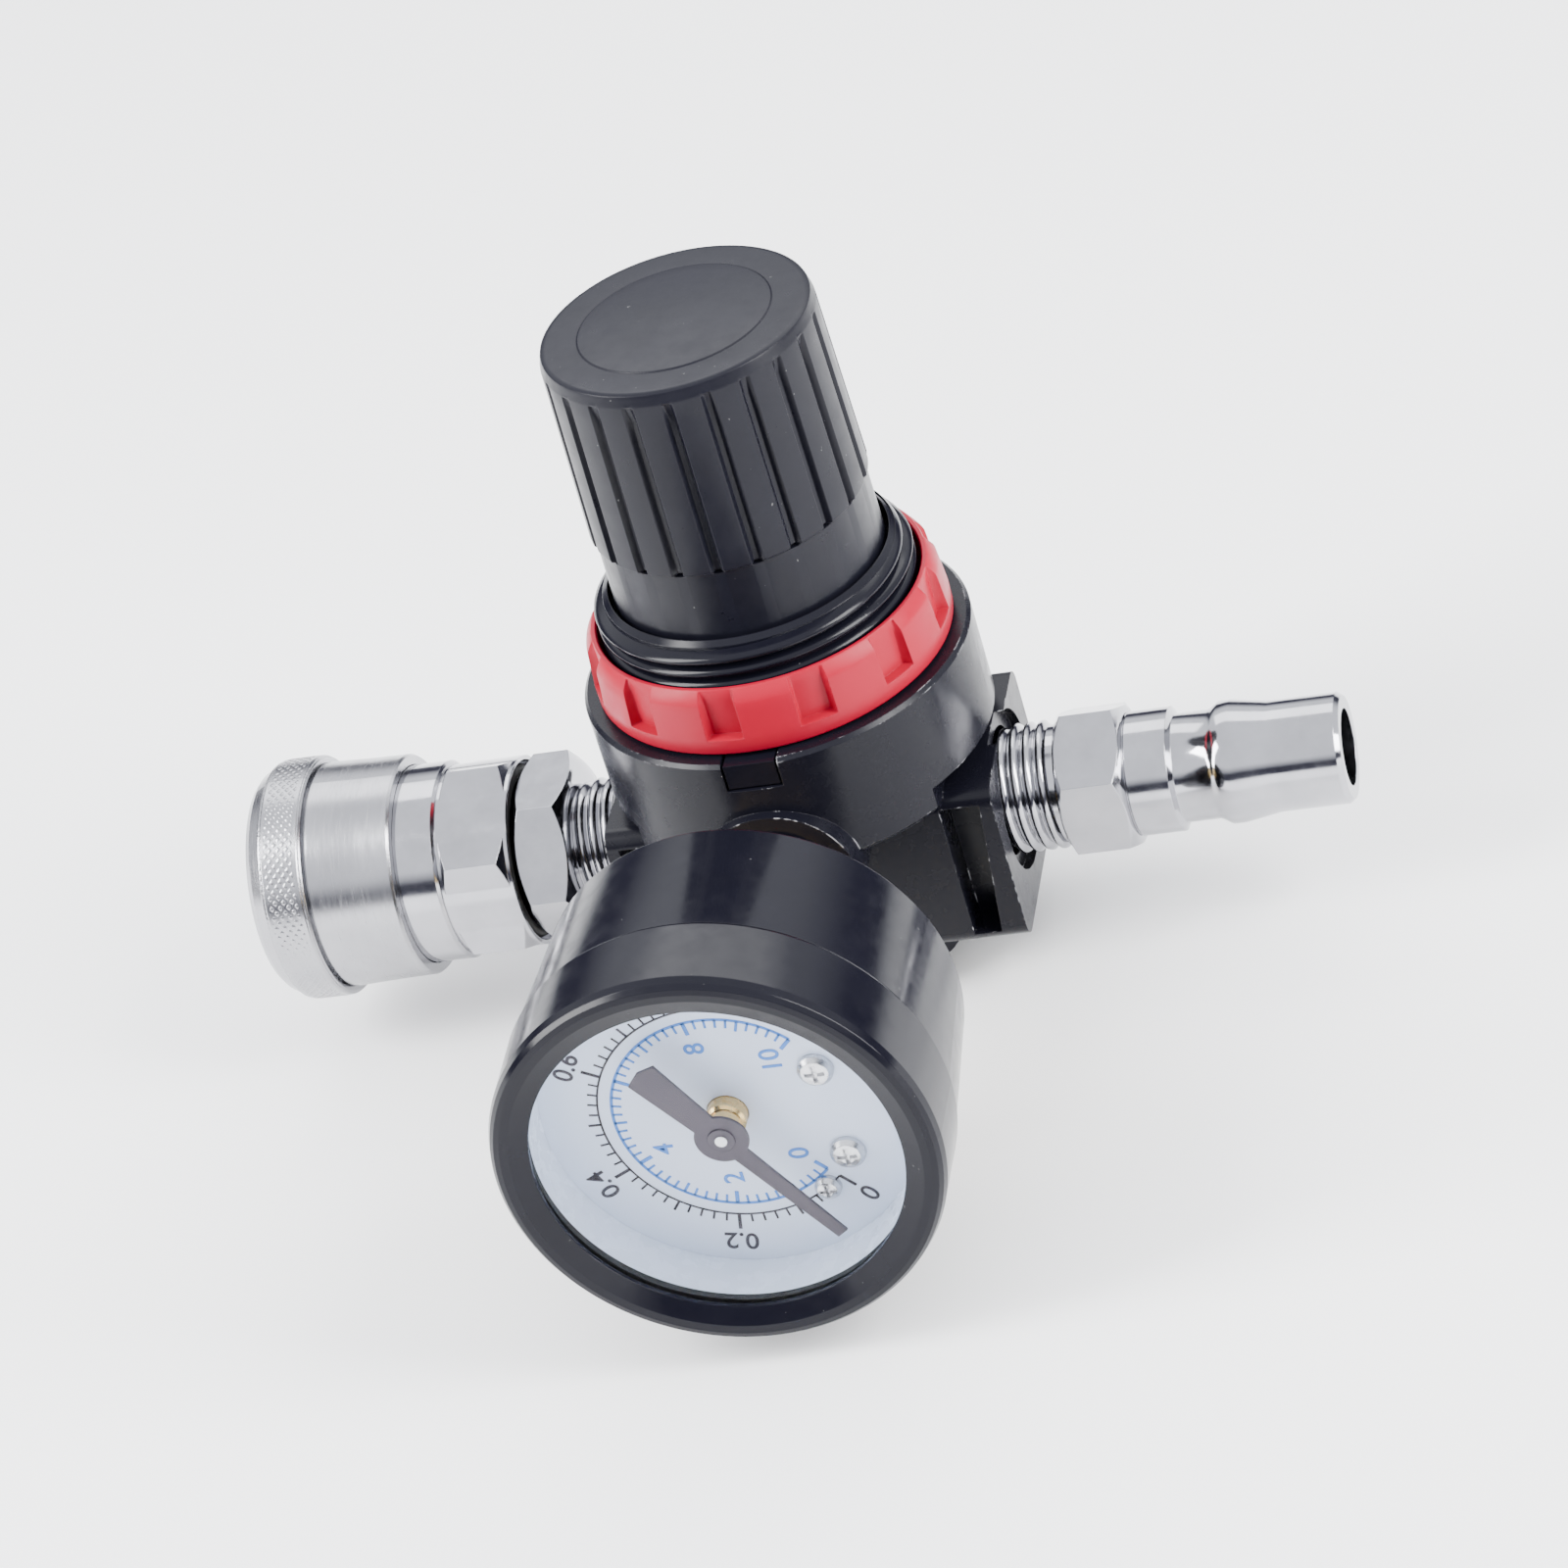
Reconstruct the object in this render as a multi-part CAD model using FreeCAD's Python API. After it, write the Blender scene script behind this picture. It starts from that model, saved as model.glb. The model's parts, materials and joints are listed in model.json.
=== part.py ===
"""Carbon dioxide pressure regulator with a dial gauge, a male plug and a female quick-connect socket.

Millimetres. +Z is up the knob axis, +X runs along the ports towards the male plug, and the gauge
faces -Y. The origin is the centre of the bottom cap's face, so the regulator stands on z = 0.
"""
import FreeCAD, Part
import math
import os

V = FreeCAD.Vector
AXES = {"x": V(1, 0, 0), "y": V(0, 1, 0), "z": V(0, 0, 1)}
FIT = 0.05                 # radial clearance of a running fit

# Heights on the knob axis
PORT_Z = 17.0              # port axis above the base
SEAT_Z = PORT_Z + 1.0      # valve seat, facing down
LEDGE_Z = PORT_Z + 12.5    # diaphragm ledge in the body
COLLAR_TOP = PORT_Z + 20.7
NUT_TOP = PORT_Z + 27.9
BONNET_TOP = PORT_Z + 31.9
NECK_TOP = PORT_Z + 34.4
KNOB_TOP = PORT_Z + 59.6

# Body casting
PORT_TO_PORT = 40.0
BLOCK_WIDTH = 22.0         # along Y
BLOCK_LOW = PORT_Z - 10.8
BLOCK_HIGH = PORT_Z + 7.7
BARREL_R = 19.9
BARREL_LOW = PORT_Z + 7.2
COLLAR_BORE_R = 16.85
RELIEF_HIGH = PORT_Z + 10.2
PORT_THREAD_R = 6.6        # quarter-inch pipe port
PORT_DEPTH = 10.5
COUNTERBORE_R = 8.2
GAUGE_PORT_R = 4.85        # eighth-inch pipe port
GAUGE_Z = PORT_Z + 6.9
BOSS_FACE_Y = 21.0
BOSS_R = 8.0
DIAL_BUSH_R = 1.95          # bushing where it stands through the dial

# Bonnet, nut and knob
BONNET_THREAD_R = 16.35
NECK_R = 11.3
LOCK_TEETH = 30
LOCK_TRAVEL = 2.5
GROOVE_LOW = PORT_Z + 26.5  # floor of the bonnet groove that the knob's skirt runs in
NUT_POCKETS = 12
NUT_POCKET_TURN = -6.0     # degrees
KNOB_GROOVES = 22
KNOB_GROOVE_TURN = -85.5   # degrees
SKIRT_R = 13.85
SKIRT_BORE_R = 12.25

# Adjusting screw
SCREW_R = 3.0
HEX_DRIVE = 8.0            # across flats

# Springs: mean radius, wire radius and turns, so that none binds over its travel
SETTING_SPRING = (7.9, 0.65, 3.9)
VALVE_SPRING = (4.35, 0.4, 6.0)
SLEEVE_SPRING = (9.6, 0.3, 3.0)
SHUTOFF_SPRING = (4.2, 0.3, 3.85)

# Gauge
CASE_BACK_Y = -38.3
CASE_FRONT_Y = -54.8
BEZEL_FRONT_Y = -64.3
BEZEL_R = 21.4
WINDOW_R = 17.6
DIAL_FACE_Y = -56.0
DIAL_R = 18.9
REST_ANGLE = -56.0         # pointer at rest, in degrees in the X-Z plane from +X towards +Z
GEAR_MODULE = 0.25
PINION_TEETH = 12
SECTOR_TEETH = 60          # as if cut all round
SECTOR_PIVOT_ANGLE = 150.0
SECTOR_SWING = 54.0
PINION_R = GEAR_MODULE * PINION_TEETH / 2
SECTOR_R = GEAR_MODULE * SECTOR_TEETH / 2
LINK_ARM = 3.5
TUBE_SWEEP = 245.0
TUBE_END_ANGLE = 165.0

# Male plug
PLUG_HEX = 14.0
PLUG_TIP_X = 53.9
PLUG_NOSE_R = 5.6
PLUG_BORE_R = 3.9

# Female socket (all at negative X)
ADAPTER_HEX = 17.0
SOCKET_HEX = 19.0
SOCKET_BORE_R = 6.45       # takes the plug's step and flare
SOCKET_NOSE_BORE_R = 5.85  # takes the plug's nose
SOCKET_TUBE_R = 8.8
SOCKET_FRONT_X = -58.3
GUIDE_R = 10.3
SHOULDER_X = -44.5
BALL_X = -53.2
BALL_R = 1.65              # reaches from the tube's outside in to the plug's groove
BALLS = 8
SEAT_X = -37.2             # back of the valve seat
VALVE_CHAMBER_X = -28.0    # floor of the chamber in the adapter
VALVE_NOSE_X = -41.5       # a locked plug pushes the nose in from here


# ---- construction helpers ----

def at(axis, along, radius):
    """Point in a plane that holds the axis: 'along' on the axis, 'radius' off it."""
    if axis == "x":
        return V(along, 0, radius)
    if axis == "y":
        return V(radius, along, 0)
    return V(radius, 0, along)


def lathe(axis, outline):
    """Solid of revolution about a world axis, from (along, radius) corners."""
    corners = [at(axis, a, r) for a, r in outline]
    face = Part.Face(Part.makePolygon(corners + corners[:1]))
    return face.revolve(V(0, 0, 0), AXES[axis], 360)


def rod(axis, radius, start, end, centre=V(0, 0, 0)):
    """Cylinder along an axis between two places on it."""
    low, high = min(start, end), max(start, end)
    return Part.makeCylinder(radius, high - low, AXES[axis] * low + centre, AXES[axis])


def tube(axis, outer, inner, start, end, centre=V(0, 0, 0)):
    """Hollow cylinder along an axis."""
    return rod(axis, outer, start, end, centre).cut(rod(axis, inner, start, end, centre))


def box(x, y, z):
    """Box between (low, high) pairs."""
    return Part.makeBox(x[1] - x[0], y[1] - y[0], z[1] - z[0], V(x[0], y[0], z[0]))


def moved(shape, x=0.0, y=0.0, z=0.0):
    """Copy of a shape, shifted."""
    copy = shape.copy()
    copy.translate(V(x, y, z))
    return copy


def turned(shape, axis, degrees, centre=V(0, 0, 0)):
    """Copy of a shape, turned about an axis."""
    copy = shape.copy()
    copy.rotate(centre, AXES[axis], degrees)
    return copy


def ring_of(shape, axis, count, first=0.0, centre=V(0, 0, 0)):
    """Copies of a shape, evenly spaced about an axis."""
    return [turned(shape, axis, first + 360.0 * i / count, centre) for i in range(count)]


def hexagon(axis, flats, start, end, corner_angle=0.0):
    """Hexagonal bar along an axis, one corner at corner_angle."""
    radius = flats / math.sqrt(3)
    corners = []
    for i in range(6):
        corner = at(axis, start, radius)
        turn = FreeCAD.Rotation(AXES[axis], 60 * i + corner_angle)
        corners.append(turn.multVec(corner))
    face = Part.Face(Part.makePolygon(corners + corners[:1]))
    return face.extrude(AXES[axis] * (end - start))


def chamfered_hexagon(axis, flats, start, end, corner_angle=0.0, chamfer=0.9):
    """Hexagonal bar whose end corners are turned off."""
    low, high = min(start, end), max(start, end)
    radius = flats / math.sqrt(3)
    inner = radius - chamfer * 1.6
    cone = lathe(axis, [(low, 0), (low, inner), (low + chamfer, radius), (high - chamfer, radius),
                        (high, inner), (high, 0)])
    return hexagon(axis, flats, low, high, corner_angle).common(cone)


def coil(spring, start, end):
    """Helical spring about Z, its wire between two heights; swept from z = 0 and then lifted."""
    radius, wire_r, turns = spring
    height = end - start - 2 * wire_r
    path = Part.makeHelix(height / turns, height, radius)
    section = Part.Wire(Part.makeCircle(wire_r, V(radius, 0, 0), V(0, 1, 0)))
    return moved(Part.Wire(path.Edges).makePipeShell([section], True, True), z=start + wire_r)


def z_to_minus_x(shape):
    """Turn a shape built up the Z axis so that it runs towards -X."""
    return turned(shape, "y", -90)


def on_port_axis(shape):
    """Lift a shape built about the world X axis onto the port axis."""
    return moved(shape, z=PORT_Z)


def on_gauge_axis(shape):
    """Lift a shape built about the world Y axis onto the gauge axis."""
    return moved(shape, z=GAUGE_Z)


# ---- regulator body ----

def clamp_slots():
    """Tapered slots behind the end flanges, for a modular clamp."""
    low, high = BLOCK_LOW + 1.4, BLOCK_HIGH - 1.5
    corners = [V(14.6, 0, low), V(17.4, 0, low), V(18.7, 0, high), V(14.6, 0, high)]
    slot = Part.Face(Part.makePolygon(corners + corners[:1])).extrude(V(0, 6, 0))
    front = moved(slot, y=-BLOCK_WIDTH / 2 - 2)
    back = moved(slot, y=BLOCK_WIDTH / 2 - 4)
    pair = [front, back]
    return pair + [turned(s, "z", 180) for s in pair]


def body_casting():
    """Cast body: round barrel over a block with an end flange at each port."""
    half = PORT_TO_PORT / 2
    barrel = lathe("z", [(BARREL_LOW, 0), (BARREL_LOW, BARREL_R - 0.8), (BARREL_LOW + 0.8, BARREL_R),
                         (COLLAR_TOP - 0.4, BARREL_R), (COLLAR_TOP, BARREL_R - 0.4), (COLLAR_TOP, 0)])
    for side in (-1, 1):
        near, far = sorted((side * 15.2, side * (half + 2)))
        barrel = barrel.cut(box((near, far), (-25, 25), (BARREL_LOW - 1, RELIEF_HIGH)))
    block = box((-half, half), (-BLOCK_WIDTH / 2, BLOCK_WIDTH / 2), (BLOCK_LOW, BLOCK_HIGH))
    along_x = [e for e in block.Edges if abs(e.tangentAt(e.FirstParameter).x) > 0.9]
    block = block.makeFillet(1.8, along_x)
    upright = rod("z", 14.9, BLOCK_HIGH - 0.5, RELIEF_HIGH + 1)
    bosses = rod("y", BOSS_R, -BOSS_FACE_Y, BOSS_FACE_Y, V(0, 0, GAUGE_Z))
    body = barrel.fuse([block, upright, bosses])
    cuts = [
        rod("z", COLLAR_BORE_R, LEDGE_Z, COLLAR_TOP + 1),
        rod("z", 13.0, PORT_Z + 9.0, LEDGE_Z + 1),
        rod("z", 7.5, PORT_Z + 4.0, PORT_Z + 10.0),
        rod("z", 3.3, SEAT_Z - 0.5, PORT_Z + 5.0),
        rod("z", 8.5, PORT_Z - 6.0, SEAT_Z),
        rod("z", 9.0, BLOCK_LOW - 1, PORT_Z - 6.0),
        rod("z", 2.2, PORT_Z + 5.0, PORT_Z + 9.5, V(-11.8, 0, 0)),
        rod("x", 3.0, 7.0, 12.0, V(0, 0, PORT_Z)),
        rod("y", GAUGE_PORT_R, -BOSS_FACE_Y - 1, -13.0, V(0, 0, GAUGE_Z)),
        rod("y", GAUGE_PORT_R, 13.0, BOSS_FACE_Y + 1, V(0, 0, GAUGE_Z)),
        rod("y", 1.2, -14.0, -6.5, V(0, 0, GAUGE_Z)),
        box((-2.85, 2.85), (-BARREL_R - 1, -15.5), (COLLAR_TOP - 3.1, COLLAR_TOP + 1)),
    ]
    for side in (-1, 1):
        centre = V(0, 0, PORT_Z)
        cuts.append(rod("x", PORT_THREAD_R, side * (half - PORT_DEPTH), side * (half + 1), centre))
        cuts.append(rod("x", COUNTERBORE_R, side * (half - 1.0), side * (half + 1), centre))
    return body.cut(cuts + clamp_slots())


def bottom_cap():
    """Screwed cap under the valve: hexagon to turn it, thread, and spigot with an O-ring groove."""
    head = chamfered_hexagon("z", 19.0, 0, 5.0, 0, 0.7)
    shank = lathe("z", [(4.5, 0), (4.5, 10.6), (BLOCK_LOW - FIT, 10.6), (BLOCK_LOW - FIT, 8.95),
                        (PORT_Z - 6.1, 8.95), (PORT_Z - 6.1, 8.4), (PORT_Z - 5.2, 8.4),
                        (PORT_Z - 5.2, 7.0), (PORT_Z - 3.6, 7.0), (PORT_Z - 3.6, 8.4),
                        (PORT_Z - 2.8, 8.4), (PORT_Z - 2.8, 0)])
    bore = rod("z", 6.0, 3.5, PORT_Z - 2)
    guide = tube("z", 3.4, 2.4 + FIT, 3.5, PORT_Z - 6.5)
    return head.fuse(shank).cut(bore).fuse(guide)


def bottom_cap_o_ring():
    return Part.makeTorus(7.72, 0.7, V(0, 0, PORT_Z - 4.4))


def rear_port_plug():
    """Socket-head plug in the unused gauge port at the back."""
    plug = lathe("y", [(13.4, 0), (13.4, 4.2), (14.0, 4.8), (20.4, 4.8), (20.8, 4.4), (20.8, 0)])
    return on_gauge_axis(plug.cut(hexagon("y", 5.0, 16.8, 22.0, 30)))


def bonnet():
    """Threaded bonnet: spring chamber, neck with lock teeth, and the key that fits the collar notch."""
    low = LEDGE_Z + 0.7
    outside = lathe("z", [(low, 0), (low, 16.7), (COLLAR_TOP - 0.2, 16.7), (COLLAR_TOP - 0.2, 15.6),
                          (COLLAR_TOP + 0.8, BONNET_THREAD_R), (BONNET_TOP - 1.0, BONNET_THREAD_R),
                          (BONNET_TOP, 15.4), (BONNET_TOP, 14.35), (GROOVE_LOW, 14.35),
                          (GROOVE_LOW, NECK_R), (NECK_TOP, NECK_R), (NECK_TOP, 0)])
    inside = lathe("z", [(low - 1, 0), (low - 1, 11.6), (low + 3.5, 11.6), (low + 5.5, 9.4),
                         (BONNET_TOP, 9.4), (BONNET_TOP, 0)])
    keyway = box((-12, 12), (-1.8, 1.8), (low - 1, BONNET_TOP)).common(rod("z", 10.4, low - 1, BONNET_TOP))
    hole = rod("z", 4.7 + FIT, BONNET_TOP - 1, NECK_TOP + 1)
    tooth = box((NECK_R - 0.4, NECK_R + 0.6), (-0.35, 0.35), (BONNET_TOP, NECK_TOP - 0.2))
    key = box((-2.6, 2.6), (-BARREL_R + 0.35, -15.5), (COLLAR_TOP - 2.9, COLLAR_TOP - 0.2))
    solid = outside.fuse(ring_of(tooth, "z", LOCK_TEETH) + [key])
    return solid.cut([inside, keyway, hole])


def panel_nut():
    """Red panel nut with wrench pockets that open upwards."""
    low = COLLAR_TOP + 0.2
    ring = lathe("z", [(low, BONNET_THREAD_R + 0.2), (low, 18.1), (low + 0.3, 18.35),
                       (low + 1.8, 18.35), (NUT_TOP - 1.3, 18.0), (NUT_TOP, 17.2),
                       (NUT_TOP, BONNET_THREAD_R + 0.2)])
    pocket = box((17.15, 19.5), (-1.8, 1.8), (low + 1.8, NUT_TOP + 1))
    return ring.cut(ring_of(pocket, "z", NUT_POCKETS, NUT_POCKET_TURN))


# ---- knob and adjusting train ----

def knob():
    """Ribbed knob: skirt that telescopes into the bonnet, lock teeth, and a hexagon drive in a boss."""
    rib_low = PORT_Z + 39.0
    skirt_low = GROOVE_LOW + LOCK_TRAVEL + 0.6
    outside = lathe("z", [(skirt_low, 0), (skirt_low, SKIRT_R), (rib_low, 13.7), (rib_low + 0.2, 14.2),
                          (KNOB_TOP - 1.6, 13.75), (KNOB_TOP - 0.9, 13.45), (KNOB_TOP - 0.25, 13.4),
                          (KNOB_TOP, 13.1), (KNOB_TOP, 9.6), (KNOB_TOP + 0.15, 8.6),
                          (KNOB_TOP + 0.5, 4.0), (KNOB_TOP + 0.55, 0)])
    roof = KNOB_TOP - 2.4
    inside = rod("z", SKIRT_BORE_R, skirt_low - 1, roof)
    boss = rod("z", 6.4, PORT_Z + 37.2, roof + 1)
    drive = hexagon("z", HEX_DRIVE + 2 * FIT, PORT_Z + 36, PORT_Z + 49.5, 0)
    tooth_low = NECK_TOP + 0.4
    tooth = box((NECK_R + 0.4, SKIRT_BORE_R + 0.4), (-0.35, 0.35), (tooth_low, tooth_low + 2.0))
    teeth = ring_of(tooth, "z", LOCK_TEETH, 180.0 / LOCK_TEETH)
    groove = box((13.35, 16), (-0.55, 0.55), (rib_low, KNOB_TOP - 1.2))
    grooves = ring_of(groove, "z", KNOB_GROOVES, KNOB_GROOVE_TURN)
    return outside.cut([inside] + grooves).fuse([boss] + teeth).cut(drive)


def adjusting_screw():
    """Screw that the knob turns: hexagon head, journal, thrust collar and thread."""
    head = chamfered_hexagon("z", HEX_DRIVE, NECK_TOP - 0.1, PORT_Z + 46.0, 0, 0.5)
    shank = lathe("z", [(PORT_Z + 17.0, 0), (PORT_Z + 17.0, SCREW_R - 0.5),
                        (PORT_Z + 17.5, SCREW_R), (PORT_Z + 30.3, SCREW_R), (PORT_Z + 30.3, 6.5),
                        (BONNET_TOP - FIT, 6.5), (BONNET_TOP - FIT, 4.7), (NECK_TOP, 4.7), (NECK_TOP, 0)])
    return head.fuse(shank)


def adjusting_nut():
    """Upper spring seat: runs on the screw, kept from turning by two lugs in the bonnet's keyways."""
    top = PORT_Z + 30.0
    seat = lathe("z", [(PORT_Z + 22.0, 0), (PORT_Z + 22.0, 5.5), (top - 1.8, 5.5), (top - 1.8, 9.1),
                       (top, 9.1), (top, 0)])
    lugs = box((-12, 12), (-1.5, 1.5), (top - 1.8, top)).common(rod("z", 10.1, top - 3, top + 1))
    return seat.fuse(lugs).cut(rod("z", SCREW_R + FIT, PORT_Z + 20, top + 1))


def setting_spring():
    return coil(SETTING_SPRING, PORT_Z + 14.9, PORT_Z + 28.15)


def diaphragm():
    """Rubber diaphragm with a rolled ring, clamped at its rim under the bonnet."""
    low, high = LEDGE_Z, LEDGE_Z + 0.65
    roll = 0.55
    return lathe("z", [(low, 2.45), (low, 11.6), (low - roll, 12.2), (low, 12.8), (low, 16.7),
                       (high, 16.7), (high, 12.9), (high - roll, 12.2), (high, 11.5), (high, 2.45)])


def diaphragm_plate():
    """Lower spring seat, with the relief spigot that passes through the diaphragm."""
    low = LEDGE_Z + 0.7
    return lathe("z", [(LEDGE_Z - 0.6, 0), (LEDGE_Z - 0.6, 2.35), (low, 2.35), (low, 9.8), (low + 1.0, 9.8),
                       (low + 1.6, 9.2), (low + 1.6, 6.8), (low + 3.0, 6.0), (low + 3.0, 3.6),
                       (low + 1.2, 3.6), (low + 1.2, 0)])


def valve_stem():
    """Thin rod from the diaphragm plate down to the poppet."""
    return lathe("z", [(PORT_Z - 2.0, 0), (PORT_Z - 2.0, 1.4), (LEDGE_Z - 1.6, 1.4),
                       (LEDGE_Z - 0.75, 0.9), (LEDGE_Z - 0.75, 0)])


def valve_poppet():
    """Poppet: disc with a rubber-seat recess, and a tail guided in the bottom cap."""
    disc = lathe("z", [(PORT_Z - 10.5, 0), (PORT_Z - 10.5, 2.1), (PORT_Z - 10.2, 2.4),
                       (PORT_Z - 2.4, 2.4), (PORT_Z - 2.4, 5.4), (SEAT_Z - 0.8, 5.4), (SEAT_Z - 0.8, 0)])
    return disc.cut(rod("z", 1.4, PORT_Z - 2.0, SEAT_Z))


def valve_seat_rubber():
    return tube("z", 5.2, 1.45, SEAT_Z - 0.8, SEAT_Z - 0.08)


def valve_spring():
    return coil(VALVE_SPRING, 3.55, PORT_Z - 2.45)


# ---- gauge ----

def gauge_stem():
    """Brass stem: pipe thread, wrench square, neck, and the block that carries the tube and movement."""
    thread = lathe("y", [(-13.6, 0), (-13.6, 4.3), (-14.1, 4.8), (-21.3, 4.8), (-21.3, 6.2),
                         (-22.0, 6.2), (-22.0, 0)])
    square = box((-5.5, 5.5), (-31.0, -22.0), (-5.5, 5.5))
    rounded = lathe("y", [(-22.0, 0), (-22.0, 6.6), (-22.6, 7.3), (-30.4, 7.3), (-31.0, 6.6), (-31.0, 0)])
    neck = lathe("y", [(-31.0, 0), (-31.0, 6.0), (CASE_BACK_Y, 6.0), (CASE_BACK_Y, 5.0),
                       (-40.0, 5.0), (-40.0, 6.5), (-45.5, 6.5), (-45.5, 0)])
    arm = box((-3.5, 3.5), (-50.6, -40.0), (-17.6, -5.6))
    arm = arm.cut(tube("y", 16.0, 14.0, -52, -46.2))
    solid = thread.fuse([square.common(rounded), neck, arm])
    return on_gauge_axis(solid.cut(rod("y", 1.2, -43.0, -13.0)))


def gauge_case():
    """Round case, open at the front, with a spigot that the bezel snaps over."""
    cup = lathe("y", [(CASE_BACK_Y, 0), (CASE_BACK_Y, 19.2), (CASE_BACK_Y - 0.35, 19.8),
                      (CASE_BACK_Y - 1.0, 20.2), (CASE_FRONT_Y, 21.2), (CASE_FRONT_Y, 20.1),
                      (-60.0, 20.1), (-60.0, 19.3), (-39.9, 19.0), (-39.9, 0)])
    return on_gauge_axis(cup.cut(rod("y", 5.0 + FIT, -41, -37)))


def gauge_bezel():
    """Bezel ring with a rounded front that slopes in to the window."""
    ring = lathe("y", [(CASE_FRONT_Y - 0.1, 20.15), (CASE_FRONT_Y - 0.1, 21.25),
                       (CASE_FRONT_Y - 0.4, BEZEL_R), (-62.9, BEZEL_R), (-63.7, 21.15),
                       (-64.15, 20.75), (BEZEL_FRONT_Y, 20.2), (-64.2, 19.4), (-63.4, WINDOW_R),
                       (-63.0, WINDOW_R), (-63.0, 19.9), (-61.0, 19.9), (-61.0, 20.15)])
    return on_gauge_axis(ring)


def gauge_window():
    return on_gauge_axis(rod("y", 19.8, -62.95, -61.8))


def window_gasket():
    return on_gauge_axis(tube("y", 19.6, 18.0, -61.75, -61.05))


def dial_ring():
    """White ring that holds the dial away from the window."""
    return on_gauge_axis(tube("y", DIAL_R, 18.0, -61.0, DIAL_FACE_Y - 0.02))


def polar(radius, degrees):
    """X and Z offsets of a point on the dial, from the gauge axis."""
    return radius * math.cos(math.radians(degrees)), radius * math.sin(math.radians(degrees))


DIAL_SCREWS = [(10.3, 22.5, 1.0), (11.8, -31.0, 1.0), (12.3, -54.0, 0.75)]   # radius, angle, scale


def dial_plate():
    """Dial, with holes for the shaft bushing and the dial screws."""
    plate = rod("y", DIAL_R, -55.4, DIAL_FACE_Y)
    holes = [rod("y", DIAL_BUSH_R + FIT, -57, -55)]
    for radius, degrees, scale in DIAL_SCREWS:
        x, z = polar(radius, degrees)
        holes.append(rod("y", 0.95 * scale, -57, -55, V(x, 0, z)))
    return on_gauge_axis(plate.cut(holes))


def dial_screw(scale):
    """Round-head screw with a cross recess, its head on the dial."""
    face = DIAL_FACE_Y
    screw = lathe("y", [(-53.2, 0), (-53.2, 0.85), (face, 0.85), (face, 1.75), (face - 0.45, 1.7),
                        (face - 0.85, 1.3), (face - 1.0, 0.7), (face - 1.0, 0)])
    slots = [box((-0.95, 0.95), (face - 2, face - 0.55), (-0.2, 0.2)),
             box((-0.2, 0.2), (face - 2, face - 0.55), (-0.95, 0.95))]
    screw = screw.cut(slots)
    shrink = FreeCAD.Matrix()
    shrink.scale(scale, 1, scale)
    return screw if scale == 1.0 else screw.transformGeometry(shrink)


def dial_screws():
    screws = []
    for radius, degrees, scale in DIAL_SCREWS:
        x, z = polar(radius, degrees)
        screws.append(moved(dial_screw(scale), x=x, z=z + GAUGE_Z))
    return Part.makeCompound(screws)


def shaft_bushing():
    """Brass bushing that carries the pointer shaft in front of the movement."""
    bush = lathe("y", [(-52.9, 0), (-52.9, 2.4), (-54.4, 2.4), (-54.4, 3.3), (-55.3, 3.3),
                       (-55.3, DIAL_BUSH_R), (-57.3, DIAL_BUSH_R), (-57.6, DIAL_BUSH_R - 0.3), (-57.6, 1.5),
                       (-58.4, 1.3), (-58.4, 0)])
    return on_gauge_axis(bush.cut(rod("y", 0.6 + FIT, -59, -52)))


def pointer_outline():
    """Pointer seen from the front, pointing along +X."""
    hub, half_root, half_tip, tip = 2.6, 0.95, 0.62, 15.2
    tail, half_waist, half_tail = -10.0, 1.15, 1.75
    blade = [V(0, 0, half_root), V(tip, 0, half_tip), V(tip, 0, -half_tip), V(0, 0, -half_root)]
    fin = [V(0, 0, half_waist), V(tail, 0, half_tail), V(tail - 0.5, 0, 0), V(tail, 0, -half_tail),
           V(0, 0, -half_waist)]
    shapes = [Part.Face(Part.makePolygon(p + p[:1])).extrude(V(0, 0.3, 0)) for p in (blade, fin)]
    disc = rod("y", hub, 0, 0.3)
    return disc.fuse(shapes)


def pointer():
    """Pointer at rest, ten degrees up the scale from its zero."""
    blade = moved(pointer_outline(), y=-60.0)
    cap = rod("y", 1.3, -60.2, -59.3)
    solid = blade.fuse(cap).cut(rod("y", 0.6, -61, -59))
    return on_gauge_axis(turned(solid, "y", -REST_ANGLE))


def gear_tooth(pitch_r, near_y, far_y):
    """Pointed tooth on the +X side of a wheel centred on the Y axis."""
    root, tip = pitch_r - 0.42, pitch_r + 0.2
    corners = [V(root, near_y, 0.17), V(tip, near_y, 0.06), V(tip, near_y, -0.06), V(root, near_y, -0.17)]
    return Part.Face(Part.makePolygon(corners + corners[:1])).extrude(V(0, far_y - near_y, 0))


def pointer_shaft():
    """Shaft with the pinion, through both movement plates to the pointer."""
    shaft = rod("y", 0.6, -60.35, -45.75)
    core = rod("y", PINION_R - 0.32, -51.6, -47.0)
    half_pitch = 180.0 / PINION_TEETH
    teeth = ring_of(gear_tooth(PINION_R, -51.6, -47.0), "y", PINION_TEETH, half_pitch - SECTOR_PIVOT_ANGLE)
    return on_gauge_axis(shaft.fuse([core] + teeth))


def sector_centre():
    """Sector pivot, as an offset in the X-Z plane."""
    x, z = polar(PINION_R + SECTOR_R, SECTOR_PIVOT_ANGLE)
    return V(x, 0, z + GAUGE_Z)


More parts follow.
